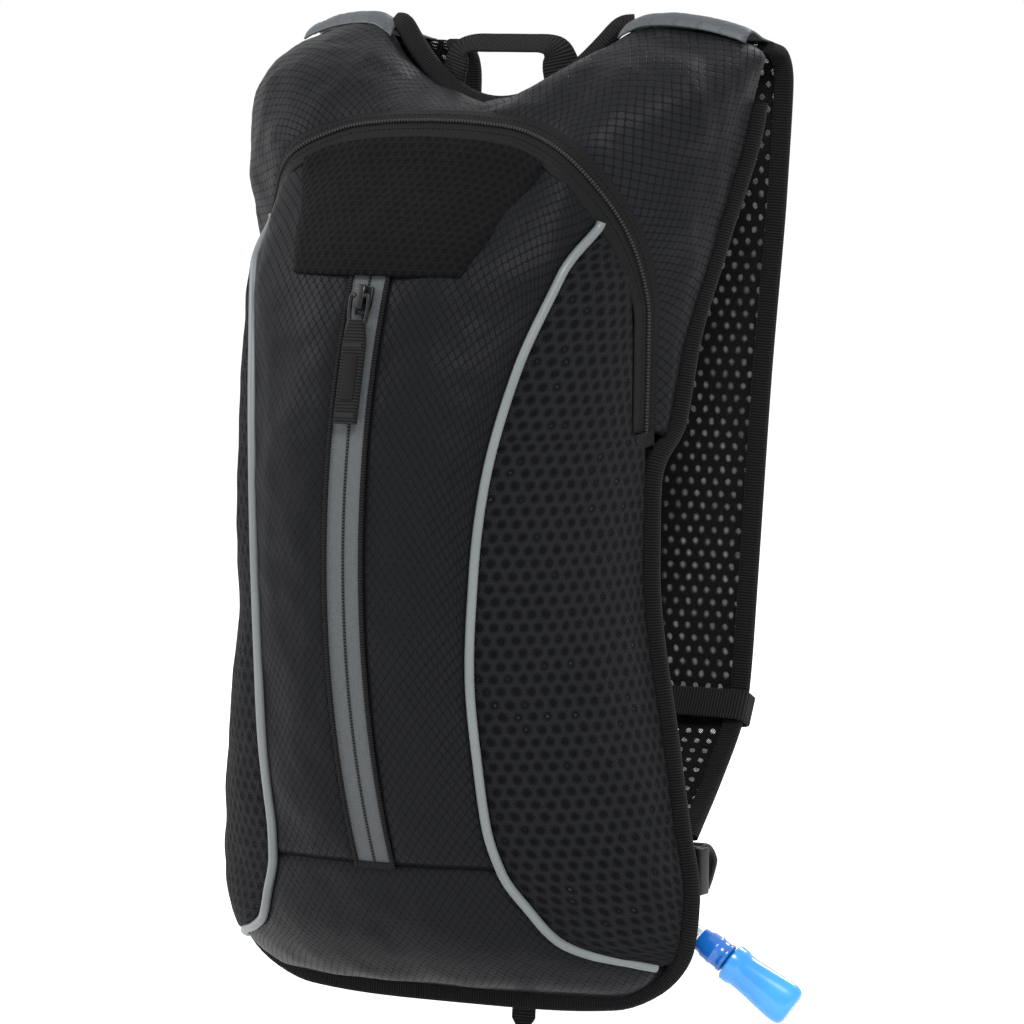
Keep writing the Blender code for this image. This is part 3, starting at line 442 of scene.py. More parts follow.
def skin_y(x, z):
    """Y of the front's surface, from the base up to the main zip's tape."""
    level = min(z, SECTION_TOP)
    share = min(abs(x) / half_width(level), 1.0)
    start = -depth(level) * (1 - share**POWER) ** (1 / POWER)
    if z <= SECTION_TOP:
        return start
    end, top = top_edge(abs(x))
    rise = max(top - SECTION_TOP, 0.5)
    t = min((z - SECTION_TOP) / rise, 1.0)
    bulge = 0.08 * rise * (t**3 - 2 * t**2 + t)
    return start + (end - start) * (3 * t**2 - 2 * t**3) * 0.5 + (end - start) * 0.5 * t + bulge


EDGE_PLACES = np.linspace(0, 95.5, 80)
EDGE_HEIGHTS = np.array([top_edge(x)[1] for x in EDGE_PLACES])


def edge_x(z):
    """X where the cloth meets the seam or the main zip's tape."""
    if z > SECTION_TOP:
        return float(np.interp(-z, -EDGE_HEIGHTS, EDGE_PLACES))
    share = seam_depth(z) / max(depth(z), seam_depth(z) * 1.02)
    return half_width(z) * (1 - share**POWER) ** (1 / POWER)


def between(low, high, share, z):
    """X that is a share of the way round the section from low to high, evenly by angle."""
    width = half_width(min(z, SECTION_TOP))
    turn = [math.acos(min(x / width, 1.0) ** (POWER / 2)) for x in (low, high)]
    return width * max(math.cos(turn[0] + (turn[1] - turn[0]) * share), 0.0) ** (2 / POWER)


# ---------------------------------------------------------------- making pieces


def link(name, data, look, body="bag", slot=None):
    """An object in the scene, with its finish, on its body."""
    obj = bpy.data.objects.new(name, data)
    bpy.context.scene.collection.objects.link(obj)
    obj.data.materials.append(LOOKS[look])
    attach(obj, body)
    return obj


def grid_mesh(name, points, uv, closed=False):
    """A mesh over rows of points, in the model's frame, with a UV map in millimetres."""
    rows, columns = points.shape[:2]
    data = bpy.data.meshes.new(name)
    faces = []
    last = columns if closed else columns - 1
    for i in range(rows - 1):
        for j in range(last):
            k = (j + 1) % columns
            faces.append((i * columns + j, i * columns + k, (i + 1) * columns + k, (i + 1) * columns + j))
    data.from_pydata(((points.reshape(-1, 3) - HANG) * MM).tolist(), [], faces)
    layer = data.uv_layers.new(name="UVMap")
    spots = []
    for i in range(rows - 1):
        for j in range(last):
            spots += [uv[i][j], uv[i][j + 1], uv[i + 1][j + 1], uv[i + 1][j]]
    layer.data.foreach_set("uv", np.array(spots, np.float32).ravel())
    data.shade_smooth()
    return data


def lengths(points, axis):
    """Running length along one axis of a grid of points."""
    step = np.linalg.norm(np.diff(points, axis=axis), axis=2)
    pad = [(0, 0), (0, 0)]
    pad[axis] = (1, 0)
    return np.cumsum(np.pad(step, pad), axis=axis)


def normals(points, core):
    """Unit normals of a grid of points, away from the core."""
    down = np.gradient(points, axis=0)
    across = np.gradient(points, axis=1)
    found = np.cross(across, down)
    found /= np.linalg.norm(found, axis=2, keepdims=True) + 1e-9
    facing = np.sum(found * (points - core))
    return found if facing > 0 else -found


def creases(points, size, seed):
    """Soft folds of cloth, between about -1 and 1."""
    out = np.zeros(points.shape[:2])
    for i, row in enumerate(points):
        for j, p in enumerate(row):
            spot = Vector(p) / size + Vector((seed, seed * 0.37, 0))
            out[i, j] = noise.noise(spot) + 0.5 * noise.noise(spot * 2.3)
    return out


CORE = np.array((0, -20, 210.0))  # a place inside the body, which its cloth faces away from
SEAM_REACH = 2.2  # how far from its edge the cloth turns in
PUFF_REACH = 26.0
CREASE_REACH = 9.0


def cloth(
    name, points, look, slot, puff=1.0, crease=0.6, size=34.0, tuck=1.2, thick=0.9, core=CORE, u_zero=None, seed=0.0
):
    """Sewn cloth over a grid: it swells between its seams, creases, and turns in at its edges.

    size is that of its creases, and u_zero is the column where its weave starts.
    """
    points = np.array(points, float)
    columns = points.shape[1]
    across, up = lengths(points, 1), lengths(points, 0)
    if u_zero is not None:
        across = across - across[:, u_zero : u_zero + 1]
    uv = np.dstack([across, np.repeat(up.mean(axis=1, keepdims=True), columns, axis=1)])
    left, right = across.min(axis=1, keepdims=True), across.max(axis=1, keepdims=True)
    side = np.minimum(across - left, right - across)
    end = np.minimum(up, up.max(axis=0, keepdims=True) - up)
    near = np.minimum(side, end)
    seam = np.exp(-((near / SEAM_REACH) ** 2))
    rise = np.clip(near / PUFF_REACH, 0, 1)
    folds = crease * creases(points, size, seed) * np.clip(near / CREASE_REACH, 0.15, 1)
    lift = puff * (rise * (2 - rise)) + folds
    fine = creases(points, size * 0.3, seed + 7.0) * crease * 0.22 * np.clip(near / 5.0, 0, 1)
    points = points + normals(points, core) * (lift + fine - tuck * seam)[:, :, None]
    obj = link(name, grid_mesh(name, points, uv), look, slot=slot)
    bm = bmesh.new()
    bm.from_mesh(obj.data)
    bmesh.ops.recalc_face_normals(bm, faces=bm.faces)
    middle = Vector((core - HANG) * MM)
    if sum(f.normal.dot(f.calc_center_median() - middle) for f in bm.faces) < 0:
        bmesh.ops.reverse_faces(bm, faces=bm.faces)
    bm.to_mesh(obj.data)
    bm.free()
    solid = obj.modifiers.new("thickness", "SOLIDIFY")
    solid.thickness, solid.offset = thick * MM, -1
    return obj


def flip(points):
    """The same grid on the other side of the bag."""
    return np.array(points, float) * (-1, 1, 1)


def both(name, points, look, node, **more):
    """A sheet on the right and on the left."""
    for side, made, seed in (("right", points, 0.0), ("left", flip(points), 1.3)):
        piece = cloth(f"{name}_{side}_cloth", made, look, seed=seed, **more)
        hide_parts(f"{node}_{side}")


def rounded(width, thick):
    """Section of a flat tape: (across, out) pairs round it."""
    corner = min(thick / 2, width / 2) * 0.92
    points = []
    for x, y, start in ((1, -1, -90), (1, 1, 0), (-1, 1, 90), (-1, -1, 180)):
        for angle in spread(start, start + 90, 4):
            turn = math.radians(angle)
            across = x * (width / 2 - corner) + corner * math.cos(turn)
            points.append((across, y * (thick / 2 - corner) + corner * math.sin(turn)))
    return np.array(points)


def tape(name, path, out, width, thick, look, body="bag", slot=None, closed=False):
    """A tape swept along a path of points, its flat side facing out at each point."""
    path = np.array(path, float)
    out = np.broadcast_to(np.array(out, float), path.shape).copy()
    if closed:
        ahead = np.roll(path, -1, axis=0) - np.roll(path, 1, axis=0)
    else:
        ahead = np.gradient(path, axis=0)
    ahead /= np.linalg.norm(ahead, axis=1, keepdims=True)
    out -= ahead * np.sum(out * ahead, axis=1, keepdims=True)
    out /= np.linalg.norm(out, axis=1, keepdims=True)
    side = np.cross(ahead, out)
    shape = rounded(width, thick)
    points = path[:, None] + side[:, None] * shape[None, :, :1] + out[:, None] * shape[None, :, 1:]
    run = running(path)
    if closed:
        points = np.concatenate([points, points[:1]])
        run = np.append(run, run[-1] + np.linalg.norm(path[0] - path[-1]))
    girth = running(np.vstack([shape, shape[:1]]))
    uv = [[(g, r) for g in girth] for r in run]
    data = grid_mesh(name, points, uv, closed=True)
    obj = link(name, data, look, body, slot)
    bm = bmesh.new()
    bm.from_mesh(data)
    if closed:
        bmesh.ops.remove_doubles(bm, verts=bm.verts, dist=1e-6)
    else:
        edges = [e for e in bm.edges if e.is_boundary]
        bmesh.ops.holes_fill(bm, edges=edges, sides=0)
    bmesh.ops.recalc_face_normals(bm, faces=bm.faces)
    bm.to_mesh(data)
    bm.free()
    data.set_sharp_from_angle(angle=math.radians(50))
    return obj


TURNED_STEPS = 64


def finished(name, bm, in_metres=False):
    """Smooth mesh data from a bmesh, which is put in the model's frame unless it is in metres."""
    if not in_metres:
        bmesh.ops.translate(bm, vec=-Vector(HANG), verts=bm.verts)
        bmesh.ops.scale(bm, vec=(MM, MM, MM), verts=bm.verts)
    bmesh.ops.recalc_face_normals(bm, faces=bm.faces)
    data = bpy.data.meshes.new(name)
    bm.to_mesh(data)
    bm.free()
    data.shade_smooth()
    return data


def turned(name, profile, start, way, look, body="bag", slot=None):
    """A solid turned about way, from (radius, distance) pairs in millimetres."""
    axis = Vector(way).normalized()
    side = axis.orthogonal().normalized()
    other = axis.cross(side)
    bm = bmesh.new()
    loops = []
    for radius, far in profile:
        centre = (Vector(start) - Vector(HANG) + axis * far) * MM
        if radius < 1e-6:
            loops.append([bm.verts.new(centre)])
            continue
        ring = []
        for k in range(TURNED_STEPS):
            angle = 2 * math.pi * k / TURNED_STEPS
            spoke = side * math.cos(angle) + other * math.sin(angle)
            ring.append(bm.verts.new(centre + spoke * radius * MM))
        loops.append(ring)
    for low, high in zip(loops, loops[1:]):
        for k in range(TURNED_STEPS):
            j = (k + 1) % TURNED_STEPS
            corners = [low[k % len(low)], low[j % len(low)], high[j % len(high)], high[k % len(high)]]
            bm.faces.new(list(dict.fromkeys(corners)))
    bmesh.ops.remove_doubles(bm, verts=bm.verts, dist=1e-7)
    data = finished(name, bm, in_metres=True)
    data.set_sharp_from_angle(angle=math.radians(40))
    return link(name, data, look, body, slot)


def cord_curve(name, points, radius, look, body="bag", slot=None):
    """A round cord on one smooth line."""
    data = bpy.data.curves.new(name, "CURVE")
    data.dimensions = "3D"
    data.bevel_depth = radius * MM
    data.bevel_resolution = 8
    data.use_fill_caps = True
    line = data.splines.new("POLY")
    line.points.add(len(points) - 1)
    for knot, point in zip(line.points, points):
        knot.co = (*((np.array(point) - HANG) * MM), 1)
    return link(name, data, look, body, slot)


def blocks(name, boxes, look, body, slot, where, turn, bevel, segments=3):
    """Rounded blocks of one moulded piece: (centre, size) pairs about where, in millimetres."""
    bm = bmesh.new()
    for centre, size in boxes:
        made = bmesh.ops.create_cube(bm, size=1)["verts"]
        bmesh.ops.scale(bm, vec=size, verts=made)
        bmesh.ops.translate(bm, vec=centre, verts=made)
    if turn is not None:
        bmesh.ops.transform(bm, matrix=turn, verts=bm.verts)
    bmesh.ops.translate(bm, vec=Vector(where), verts=bm.verts)
    obj = link(name, finished(name, bm), look, body, slot)
    edge = obj.modifiers.new("edges", "BEVEL")
    edge.width, edge.segments, edge.limit_method = bevel * MM, segments, "ANGLE"
    return obj


# ---------------------------------------------------------------- front, sides, base


FRONT_TOP_HALF = 84.5  # the front panel's outer corner, at the main zip
PATCH_LOW_HALF, PATCH_HIGH_HALF = 43.6, 62.0
PATCH_LIFT = 3.4


def front_rows():
    """The right front panel, from the pocket zip to the piping, and up under the mesh patch."""
    points = []
    for s in spread(0, 1, 120):
        row = []
        for c in spread(0, 1, 44):
            top = top_edge(TAPE_HALF + (FRONT_TOP_HALF - TAPE_HALF) * c)[1] + 1
            z = POCKET_LOW + (top - POCKET_LOW) * s
            outer = piping_x(min(z, PIPING_TOP)) - 1.0
            x = TAPE_HALF + (outer - TAPE_HALF) * c
            row.append((x, skin_y(x, z), z))
        points.append(row)
    return points


def bottom_row(z):
    """One row of the base panel. Its two lowest rows turn back under the bag."""
    if z > 9:
        outer = min(piping_x(max(z, 18)) - 1.0, edge_x(z))
        return [(x, skin_y(x, z), z) for x in spread(-outer, outer, 71)]
    outer = 84.0 + z
    return [(x, -2.0 - 1.9 * z * max(1 - (x / 92) ** 2, 0.1), z) for x in spread(-outer, outer, 71)]


def make_front():
    both("front_panel", front_rows(), "front", "front_panel", slot="ripstop", puff=1.6, crease=1.7, size=38.0)
    rows = [bottom_row(z) for z in [3.0, 6.0, *spread(10, POCKET_LOW, 34)]]
    piece = cloth("bottom_panel_cloth", rows, "base", slot="ripstop", puff=1.2, crease=1.2, size=40.0, u_zero=35)
    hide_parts("bottom_panel")
    rows = []
    for s in spread(0, 1, 44):
        row = []
        for c in spread(-1, 1, 81):
            top = top_edge(abs(PATCH_HIGH_HALF * c))[1] + 0.5
            z = POCKET_HIGH + (top - POCKET_HIGH) * s
            wider = (PATCH_HIGH_HALF - PATCH_LOW_HALF) * min((z - POCKET_HIGH) / 44, 1.0)
            x = c * (PATCH_LOW_HALF + wider)
            row.append((x, skin_y(x, z) - PATCH_LIFT, z))
        rows.append(row)
    sewn = {"slot": "mesh", "puff": 1.0, "crease": 0.9, "tuck": 0.9, "thick": 2.2}
    piece = cloth("top_mesh_patch_cloth", rows, "patch", **sewn, u_zero=40)
    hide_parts("top_mesh_patch")


def make_sides():
    """The mesh between the piping and the seam, and the piping itself."""
    rows = []
    for z in [*spread(21.5, 34, 14), *spread(36, 356.5, 124)]:
        low = min(piping_x(z) + 0.6, edge_x(z) - 1.5)
        high = max(edge_x(z), low + 0.4)
        row = []
        for share in spread(0, 1, 44):
            x = between(low, high, share, z) if z <= SECTION_TOP else low + (high - low) * share
            row.append((x, skin_y(x, z), z))
        rows.append(row)
    both("side_mesh", rows, "side", "side_mesh", slot="mesh", puff=2.0, crease=1.3, size=38.0, thick=1.6)
    for side, sign in SIDES:
        line = []
        for z in spread(22.0, PIPING_TOP, 190):
            x = piping_x(z)
            line.append((x * sign, skin_y(x, z) - 0.9, z))
        piece = cord_curve(f"piping_{side}_cord", line, 2.15, "piping", slot="reflective")
        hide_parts(f"piping_{side}")


STITCH_RINGS = ((-0.5, 0.5, 0.1), (-0.25, 1.0, 0.9), (0.25, 1.0, 0.9), (0.5, 0.5, 0.1))


def seam_run(name, points, out, gap, radius):
    """Running stitches along a line of points, lying on the cloth. Each is a bead on four rings."""
    run = running(points)
    bm = bmesh.new()
    for k in range(int(run[-1] // gap)):
        ends = [k * gap + 0.2, k * gap + gap * 0.72]
        spots = [np.array([np.interp(e, run, points[:, i]) for i in range(3)]) for e in ends]
        normal = Vector([np.interp(ends[0], run, out[:, i]) for i in range(3)]).normalized()
        way = Vector(spots[1] - spots[0])
        if way.length < 1e-6:
            continue
        side = way.normalized().cross(normal) * radius
        middle = Vector((spots[0] + spots[1]) / 2)
        ring = []
        for far, wide, high in STITCH_RINGS:
            base = middle + way * far
            corners = (base + side * wide, base + normal * radius * 1.6 * high, base - side * wide)
            ring.append([bm.verts.new(corner) for corner in corners])
        for a, b in zip(ring, ring[1:]):
            for i in range(3):
                j = (i + 1) % 3
                bm.faces.new((a[i], a[j], b[j], b[i]))
        bm.faces.new(ring[0][::-1])
        bm.faces.new(ring[-1])
    return link(name, finished(name, bm), "thread", slot="webbing")


# ---------------------------------------------------------------- pocket zip


def arc_point(z, lift=0.0, x=0.0):
    """Point of the pocket zip's arc, lifted off it along its radius."""
    angle = math.asin((z - ZIP_ARC_Z) / ZIP_ARC_RADIUS)
    radius = ZIP_ARC_RADIUS + lift
    return np.array((x, ZIP_ARC_Y - radius * math.cos(angle), ZIP_ARC_Z + radius * math.sin(angle)))


def make_pocket_zip():
    levels = spread(POCKET_LOW - 1, POCKET_HIGH + 3, 90)
    out = [arc_point(z, 1) - arc_point(z) for z in levels]
    for side, sign in SIDES:
        path = [arc_point(z, -0.6, 5.0 * sign) for z in levels]
        piece = tape(f"pocket_tape_{side}", path, out, 9.4, 1.1, "pocket_tape", slot="zip_tape")
        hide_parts(f"pocket_zip_tape_{side}")
        fold = [arc_point(z, 0.5, 9.4 * sign) for z in levels]
        tape(f"pocket_fold_{side}", fold, out, 2.2, 1.5, "binding", slot="ripstop")
    groove = [arc_point(z, -0.15) for z in levels]
    tape("pocket_coil", groove, out, 1.3, 1.2, "coil", slot="zip_tape")
    rim = [arc_point(POCKET_LOW, 0.4, x) for x in spread(-10, 10, 9)]
    facing = arc_point(POCKET_LOW, 1) - arc_point(POCKET_LOW)
    tape("pocket_foot_bar", rim, facing, 3.2, 1.4, "binding", slot="ripstop")


SLIDER_Z = 322.0
PULL_DROP = 12.0  # from the pull's hinge down to its webbing tab
TAB_SIZE = (12.0, 3.0, 44.0)
WIRE_HALF = 4.4
WIRE_RADIUS = 1.0


def make_pocket_slider():
    lean = math.asin((SLIDER_Z - ZIP_ARC_Z) / ZIP_ARC_RADIUS)
    turn = Matrix.Rotation(-lean, 4, "X")
    seat = arc_point(SLIDER_Z, 0.4)
    boxes = [
        ((0, -1.7, 1.4), (9.0, 1.8, 9.8)),
        ((0, -1.7, -4.4), (6.4, 1.8, 4.6)),
        ((0, -0.4, 0), (6.4, 1.2, 10.0)),
        ((0, -3.4, 4.8), (4.2, 2.6, 2.8)),
        ((0, -3.4, -3.2), (4.2, 2.6, 2.6)),
        ((0, -5.0, 0.8), (4.0, 1.6, 11.4)),
    ]
    piece = blocks("pocket_slider_body", boxes, "metal", "pocket_slider", "zip_metal", seat, turn, 0.75)
    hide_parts("pocket_slider")
    hinge = arc_point(SLIDER_Z + 1, 5.5)
    down = arc_point(SLIDER_Z - PULL_DROP - TAB_SIZE[2], 4.0) - hinge
    down /= np.linalg.norm(down)
    corners = [(-1.7, 0), (-WIRE_HALF, 0.2), (-WIRE_HALF, 9.5), (-WIRE_HALF + 1.6, 12)]
    corners += [(-x, z) for x, z in corners[::-1]]
    line = drawn([hinge + np.array((x, 0, 0)) + down * z for x, z in corners], 60)
    wire = cord_curve("pull_wire_bent", line, WIRE_RADIUS, "metal", "pocket_pull", "zip_metal")
    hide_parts("pocket_pull_wire")
    out = np.cross((1, 0, 0), down)
    out = out if out[1] < 0 else -out
    start = hinge + down * (PULL_DROP - 1.0)
    length = TAB_SIZE[2] + 2.5
    path = [start + down * t for t in spread(0, length, 40)]
    tab = tape("pull_webbing", path, out, *TAB_SIZE[:2], "webbing", "pocket_pull", "webbing")
    for vertex in tab.data.vertices:
        far = (np.array(vertex.co) / MM + HANG - start) @ down
        vertex.co.x *= 1 - 0.42 * limit(1 - far / 11) ** 1.5
    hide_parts("pocket_pull_tab")
    label = [start + down * t + out * 1.6 for t in spread(16, 36, 12)]
    tape("pull_rubber_inset", label, out, 7.0, 0.9, "seal", "pocket_pull", "seal")
    for k, t in enumerate((11.5, 43.0)):
        bar = [start + down * t + out * 1.5 + np.array((x, 0, 0)) for x in spread(-4.8, 4.8, 9)]
        tape(f"pull_bar_tack_{k}", bar, out, 2.2, 0.6, "thread", "pocket_pull", "webbing")


# ---------------------------------------------------------------- main zip and yoke


def whole(curve, steps):
    """A curve over the right half and then the left, as one run of points."""
    right = [np.array(curve(t)) for t in steps]
    return right + [p * (-1, 1, 1) for p in right[-2::-1]]


def make_main_zip():
    """The arch of tape either side of the coil, the coil, and a run of stitches along each tape."""
    steps = spread(0, TOP_STEPS, 90)
    line, inner, outer = (np.array(whole(c, steps)) for c in (zip_line, zip_inner, zip_outer))
    sewn = {"slot": "webbing", "puff": 0.15, "crease": 0.12, "tuck": 0.3, "thick": 1.0}
    for name, far, reach in (("inner", inner, 1.18), ("outer", outer, 1.3)):
        rows = [line + (far - line) * s for s in spread(0.03, reach, 9)]
        piece = cloth(f"main_tape_{name}", np.transpose(np.array(rows), (1, 0, 2)), "main_tape", **sewn)
        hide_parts(f"main_zip_tape_{name}")
    across = np.cross(np.gradient(line, axis=0), inner - outer)
    facing = across * np.sign(np.sum(across * (line - CORE), axis=1))[:, None]
    facing /= np.linalg.norm(facing, axis=1, keepdims=True)
    tape("main_coil", line + facing * 0.3, facing, 1.7, 1.5, "coil", slot="zip_metal")
    for k, (far, share) in enumerate(((inner, 0.5), (outer, 0.62))):
        seam_run(f"main_zip_stitch_{k}", line + (far - line) * share + facing * 0.45, facing, 2.6, 0.26)


def make_zip_ends():
    """The cloth tab that covers each end of the main zip."""
    for side, sign in SIDES:
        path = [(97.9 * sign, y, 259.5 + 0.1 * y) for y in spread(-14.0, 2.0, 14)]
        tape(f"main_zip_end_{side}", path, (sign, 0, 0), 7.0, 1.4, "binding", slot="webbing")


SLIDER_PLACE = np.array((-98.4057375, -4.9601875, 275.8175625))  # on the left leg of the main zip


def make_main_slider():
    boxes = [((-1.6, 0, 0), (1.3, 8.4, 12.4)), ((-0.5, 0, 0), (1.2, 6.2, 9.6))]
    boxes += [((-3.2, 0, 0.8), (2.4, 3.0, 9.4))]
    seat = SLIDER_PLACE + (-0.6, 0, 0)
    piece = blocks("main_slider_body", boxes, "metal", "main_slider", "zip_metal", seat, None, 0.5)
    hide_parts("main_slider")
    top = SLIDER_PLACE + (-6.0, 0, 2)
    path = [top + (0, 0, -z) for z in spread(0.5, 35, 24)]
    pull = tape("main_pull_webbing", path, (-1, 0, 0), 8.0, 2.2, "webbing", "main_pull", "webbing")
    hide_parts("main_pull")


def yoke_rows(steps, side_swell):
    """One half of the yoke: from the main zip's tape back to the side seam, the shoulder and the neckline.

    It ends short of the neckline's binding, but reaches the ridge of the shoulder.
    """
    rows = []
    for t in steps:
        low, high = np.array(zip_outer(t)), np.array(yoke_edge(t))
        way = high - low
        line = np.array(zip_line(min(t + 0.1, TOP_STEPS))) - np.array(zip_line(max(t - 0.1, 0)))
        swell = np.cross(way, line)
        fuller = 0.08 + side_swell * math.exp(-(((t - 2.7) / 1.3) ** 2)) - 0.07 * limit(t - 5.2)
        swell = swell / np.linalg.norm(swell) * np.linalg.norm(way) * fuller
        if swell @ (low - (0, 20, 300)) < 0:
            swell = -swell
        on_ridge = limit((t - 3.4) * 3) * limit((5.6 - t) * 3)
        last = 1 - 3.6 * (1 - on_ridge) / np.linalg.norm(way)
        rows.append([low + way * s + swell * math.sin(s * math.pi) for s in spread(0.0, last, 60)])
    return rows


def make_yoke():
    steps = spread(0, TOP_STEPS, 100)
    left = yoke_rows(steps, 0.12)
    rows = yoke_rows(steps, 0.0) + [flip(row) for row in left[-2::-1]]
    core = np.array((0, 20, 330.0))
    piece = cloth("yoke_cloth", rows, "yoke", slot="ripstop", puff=1.4, crease=2.6, core=core, tuck=0.8)
    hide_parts("yoke")


# ---------------------------------------------------------------- back, bindings, haul loop

BACK_TOP = [(0, (34, 401.6)), (20, (35.5, 406.2)), (40, (40, 419.8)), (57, (46.5, 437))]
BACK_TOP += [(72, (52, 438)), (95, (58, 437)), (114, (64, 429))]
back_top = smooth(BACK_TOP)
side_edge = smooth([(z, (x, y)) for x, y, z in [(101, 5, 250), *YOKE_EDGE[:4], (119.5, 64, 432)]])
BACK_SEAM = 256.0
BASE_FOOT = 4.0


def upper_back(c, t):
    """Point of the upper back: c from -1 to 1 across, t from 0 at the seam to 1 at the top."""
    x = abs(c)
    foot = np.array((98 * x, 2.4 + 6 * x**2, BACK_SEAM - 2))
    head = np.array((116 * x, *back_top(114 * x)))
    corner = np.array((116, *back_top(114)))
    z = foot[2] + (corner[2] - foot[2]) * t
    edge = side_edge(z)
    edge = np.array((edge[0] - 1.5, edge[1] + 0.6, z))
    line = np.array((98, 8.4, foot[2])) * (1 - t) + corner * t
    point = foot * (1 - t) + head * t + (edge - line) * x**3 * (1 - t**6)
    return np.array((math.copysign(point[0], c), point[1], point[2]))


def make_back():
    rows = []
    for z in spread(1.6, BACK_SEAM, 90):
        half, rear, _ = seam_point(z) + (0.6, 0, 0)
        shares = spread(-1, 1, 61)
        rows.append([(half * c, 1.4 + 0.8 * (1 - c * c) + max(rear - 1, 0) * c**8, z) for c in shares])
    piece = cloth("back_panel_cloth", rows, "back", slot="mesh", puff=0.3, crease=0.2, tuck=0.2, thick=1.0)
    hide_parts("back_panel")
    rows = [[upper_back(c, t) for c in spread(-1, 1, 90)] for t in spread(0, 1, 70)]
    core = np.array((0, -60, 340.0))
    piece = cloth("upper_back_cloth", rows, "back", slot="mesh", puff=0.8, crease=0.9, tuck=0.2, core=core)
    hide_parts("upper_back_panel")


def padded_back():
    """Three padded channels on the back, swollen by cloth pressure and then quilted."""
    half, low, high = 86.0, 16.0, 250.0
    bm = bmesh.new()
    count = 48
    loops = []
    for y in (2.2, 4.6):
        loop = []
        for k in range(count):
            a = 2 * math.pi * k / count
            c, s = math.cos(a), math.sin(a)
            x = math.copysign(abs(c) ** 0.35, c) * (half - 3)
            z = (low + high) / 2 + math.copysign(abs(s) ** 0.28, s) * ((high - low) / 2 - 3)
            loop.append(bm.verts.new(((x - HANG[0]) * MM, (y - HANG[1]) * MM, (z - HANG[2]) * MM)))
        loops.append(loop)
    for k in range(count):
        j = (k + 1) % count
        bm.faces.new((loops[0][k], loops[0][j], loops[1][j], loops[1][k]))
    bm.faces.new(loops[0][::-1])
    bm.faces.new(loops[1])
    data = finished("back_pad_foam", bm, in_metres=True)
    obj = link("back_pad_foam", data, "back", slot="mesh")
    remesh = obj.modifiers.new("even", "REMESH")
    remesh.mode, remesh.voxel_size = "VOXEL", 0.0024
    settle(obj)
    rest = [v.co.copy() for v in obj.data.vertices]
    swell_cloth(obj)
    most = 0.004  # metres that the cloth may swell by
    for vertex, start in zip(obj.data.vertices, rest):
        move = vertex.co - start
        if move.length > most:
            vertex.co = start + move.normalized() * most
    for vertex in obj.data.vertices:
        x, z = vertex.co.x / MM, vertex.co.z / MM + HANG[2]
        if vertex.co.y / MM + HANG[1] < 3.4:
            vertex.co.y = max(vertex.co.y, (2.0 - HANG[1]) * MM)
            continue
        channel = math.exp(-(((abs(x) - 28.0) / 2.6) ** 2))
        rows = sum(math.exp(-(((z - at) / 2.6) ** 2)) for at in (72, 133, 194)) * (abs(x) < 28)
        edge = min(half - abs(x), z - low, high - z)
        rim = math.exp(-max(edge, 0) ** 2 / 30.0)
        share = min(max(channel, rows) + rim * 0.4, 1.0)
        vertex.co.y -= share * 2.4 * MM
        vertex.co.y = max(vertex.co.y, (2.6 - HANG[1]) * MM)
    layer = obj.data.uv_layers.new(name="UVMap")
    for loop in obj.data.loops:
        spot = obj.data.vertices[loop.vertex_index].co
        layer.data[loop.index].uv = (spot.x / MM, spot.z / MM)
    obj.data.shade_smooth()
    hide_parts("back_pad")


def settle(obj):
    """Applies the modifiers to the mesh."""
    graph = bpy.context.evaluated_depsgraph_get()
    made = bpy.data.meshes.new_from_object(obj.evaluated_get(graph), depsgraph=graph)
    obj.modifiers.clear()
    obj.data = made


def swell_cloth(obj):
    """Blows the pad up a little with a cloth simulation, and keeps the result."""
    made = obj.modifiers.new("swell", "CLOTH")
    made.settings.use_pressure = True
    made.settings.uniform_pressure_force = 4.0
    made.settings.effector_weights.gravity = 0.0
    made.settings.quality = 4
    scene = bpy.context.scene
    for frame_number in range(1, 16):
        scene.frame_set(frame_number)
    settle(obj)
    scene.frame_set(1)


def base_seam_z(x):
    return BASE_FOOT - 3.5 * math.sin(math.pi * (1 - min((x / half_width(BASE_FOOT)) ** 2, 1)) / 2)


def seam_point(z):
    """The edge binding's middle line up the right side."""
    if z <= 240:
        return np.array((half_width(z) + 1.0, 0, z))
    x, y = side_edge(z)
    low = seam_point(240)
    share = min((z - 240) / 22, 1)
    return np.array((low[0] + (x - low[0]) * share, y * share, z))


def make_bindings():
    right = [seam_point(z) for z in spread(408, BASE_FOOT, 150)]
    base = [np.array((x, 0, base_seam_z(x))) for x in spread(right[-1][0], 0, 30)]
    half = np.array(right + base[1:])
    path = np.concatenate([half, (half * (-1, 1, 1))[-2::-1]])
    path = eased(path, 3)
    middle = np.array((0, 0, 200.0))
    away = (path - middle) * (1, 0, 1)
    path = path + away / np.linalg.norm(away, axis=1, keepdims=True) * 0.6
    piece = tape("edge_binding_tape", path, (0, -1, 0), 9.0, 4.6, "binding", slot="webbing")
    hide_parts("edge_binding")
    points = []
    for x in spread(-63, 63, 90):
        rise = min((abs(x) / 57.0) ** 2.0, 1.02) * 37.0
        points.append((x, 33 + 12 * (x / 57.0) ** 2, 406 + rise))
    points = eased(np.array(points), 4) + (0, -0.6, 0.6)
    piece = tape("neck_binding_tape", points, (0, -0.75, 0.66), 9.6, 5.0, "binding", slot="webbing")
    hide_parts("neck_binding")


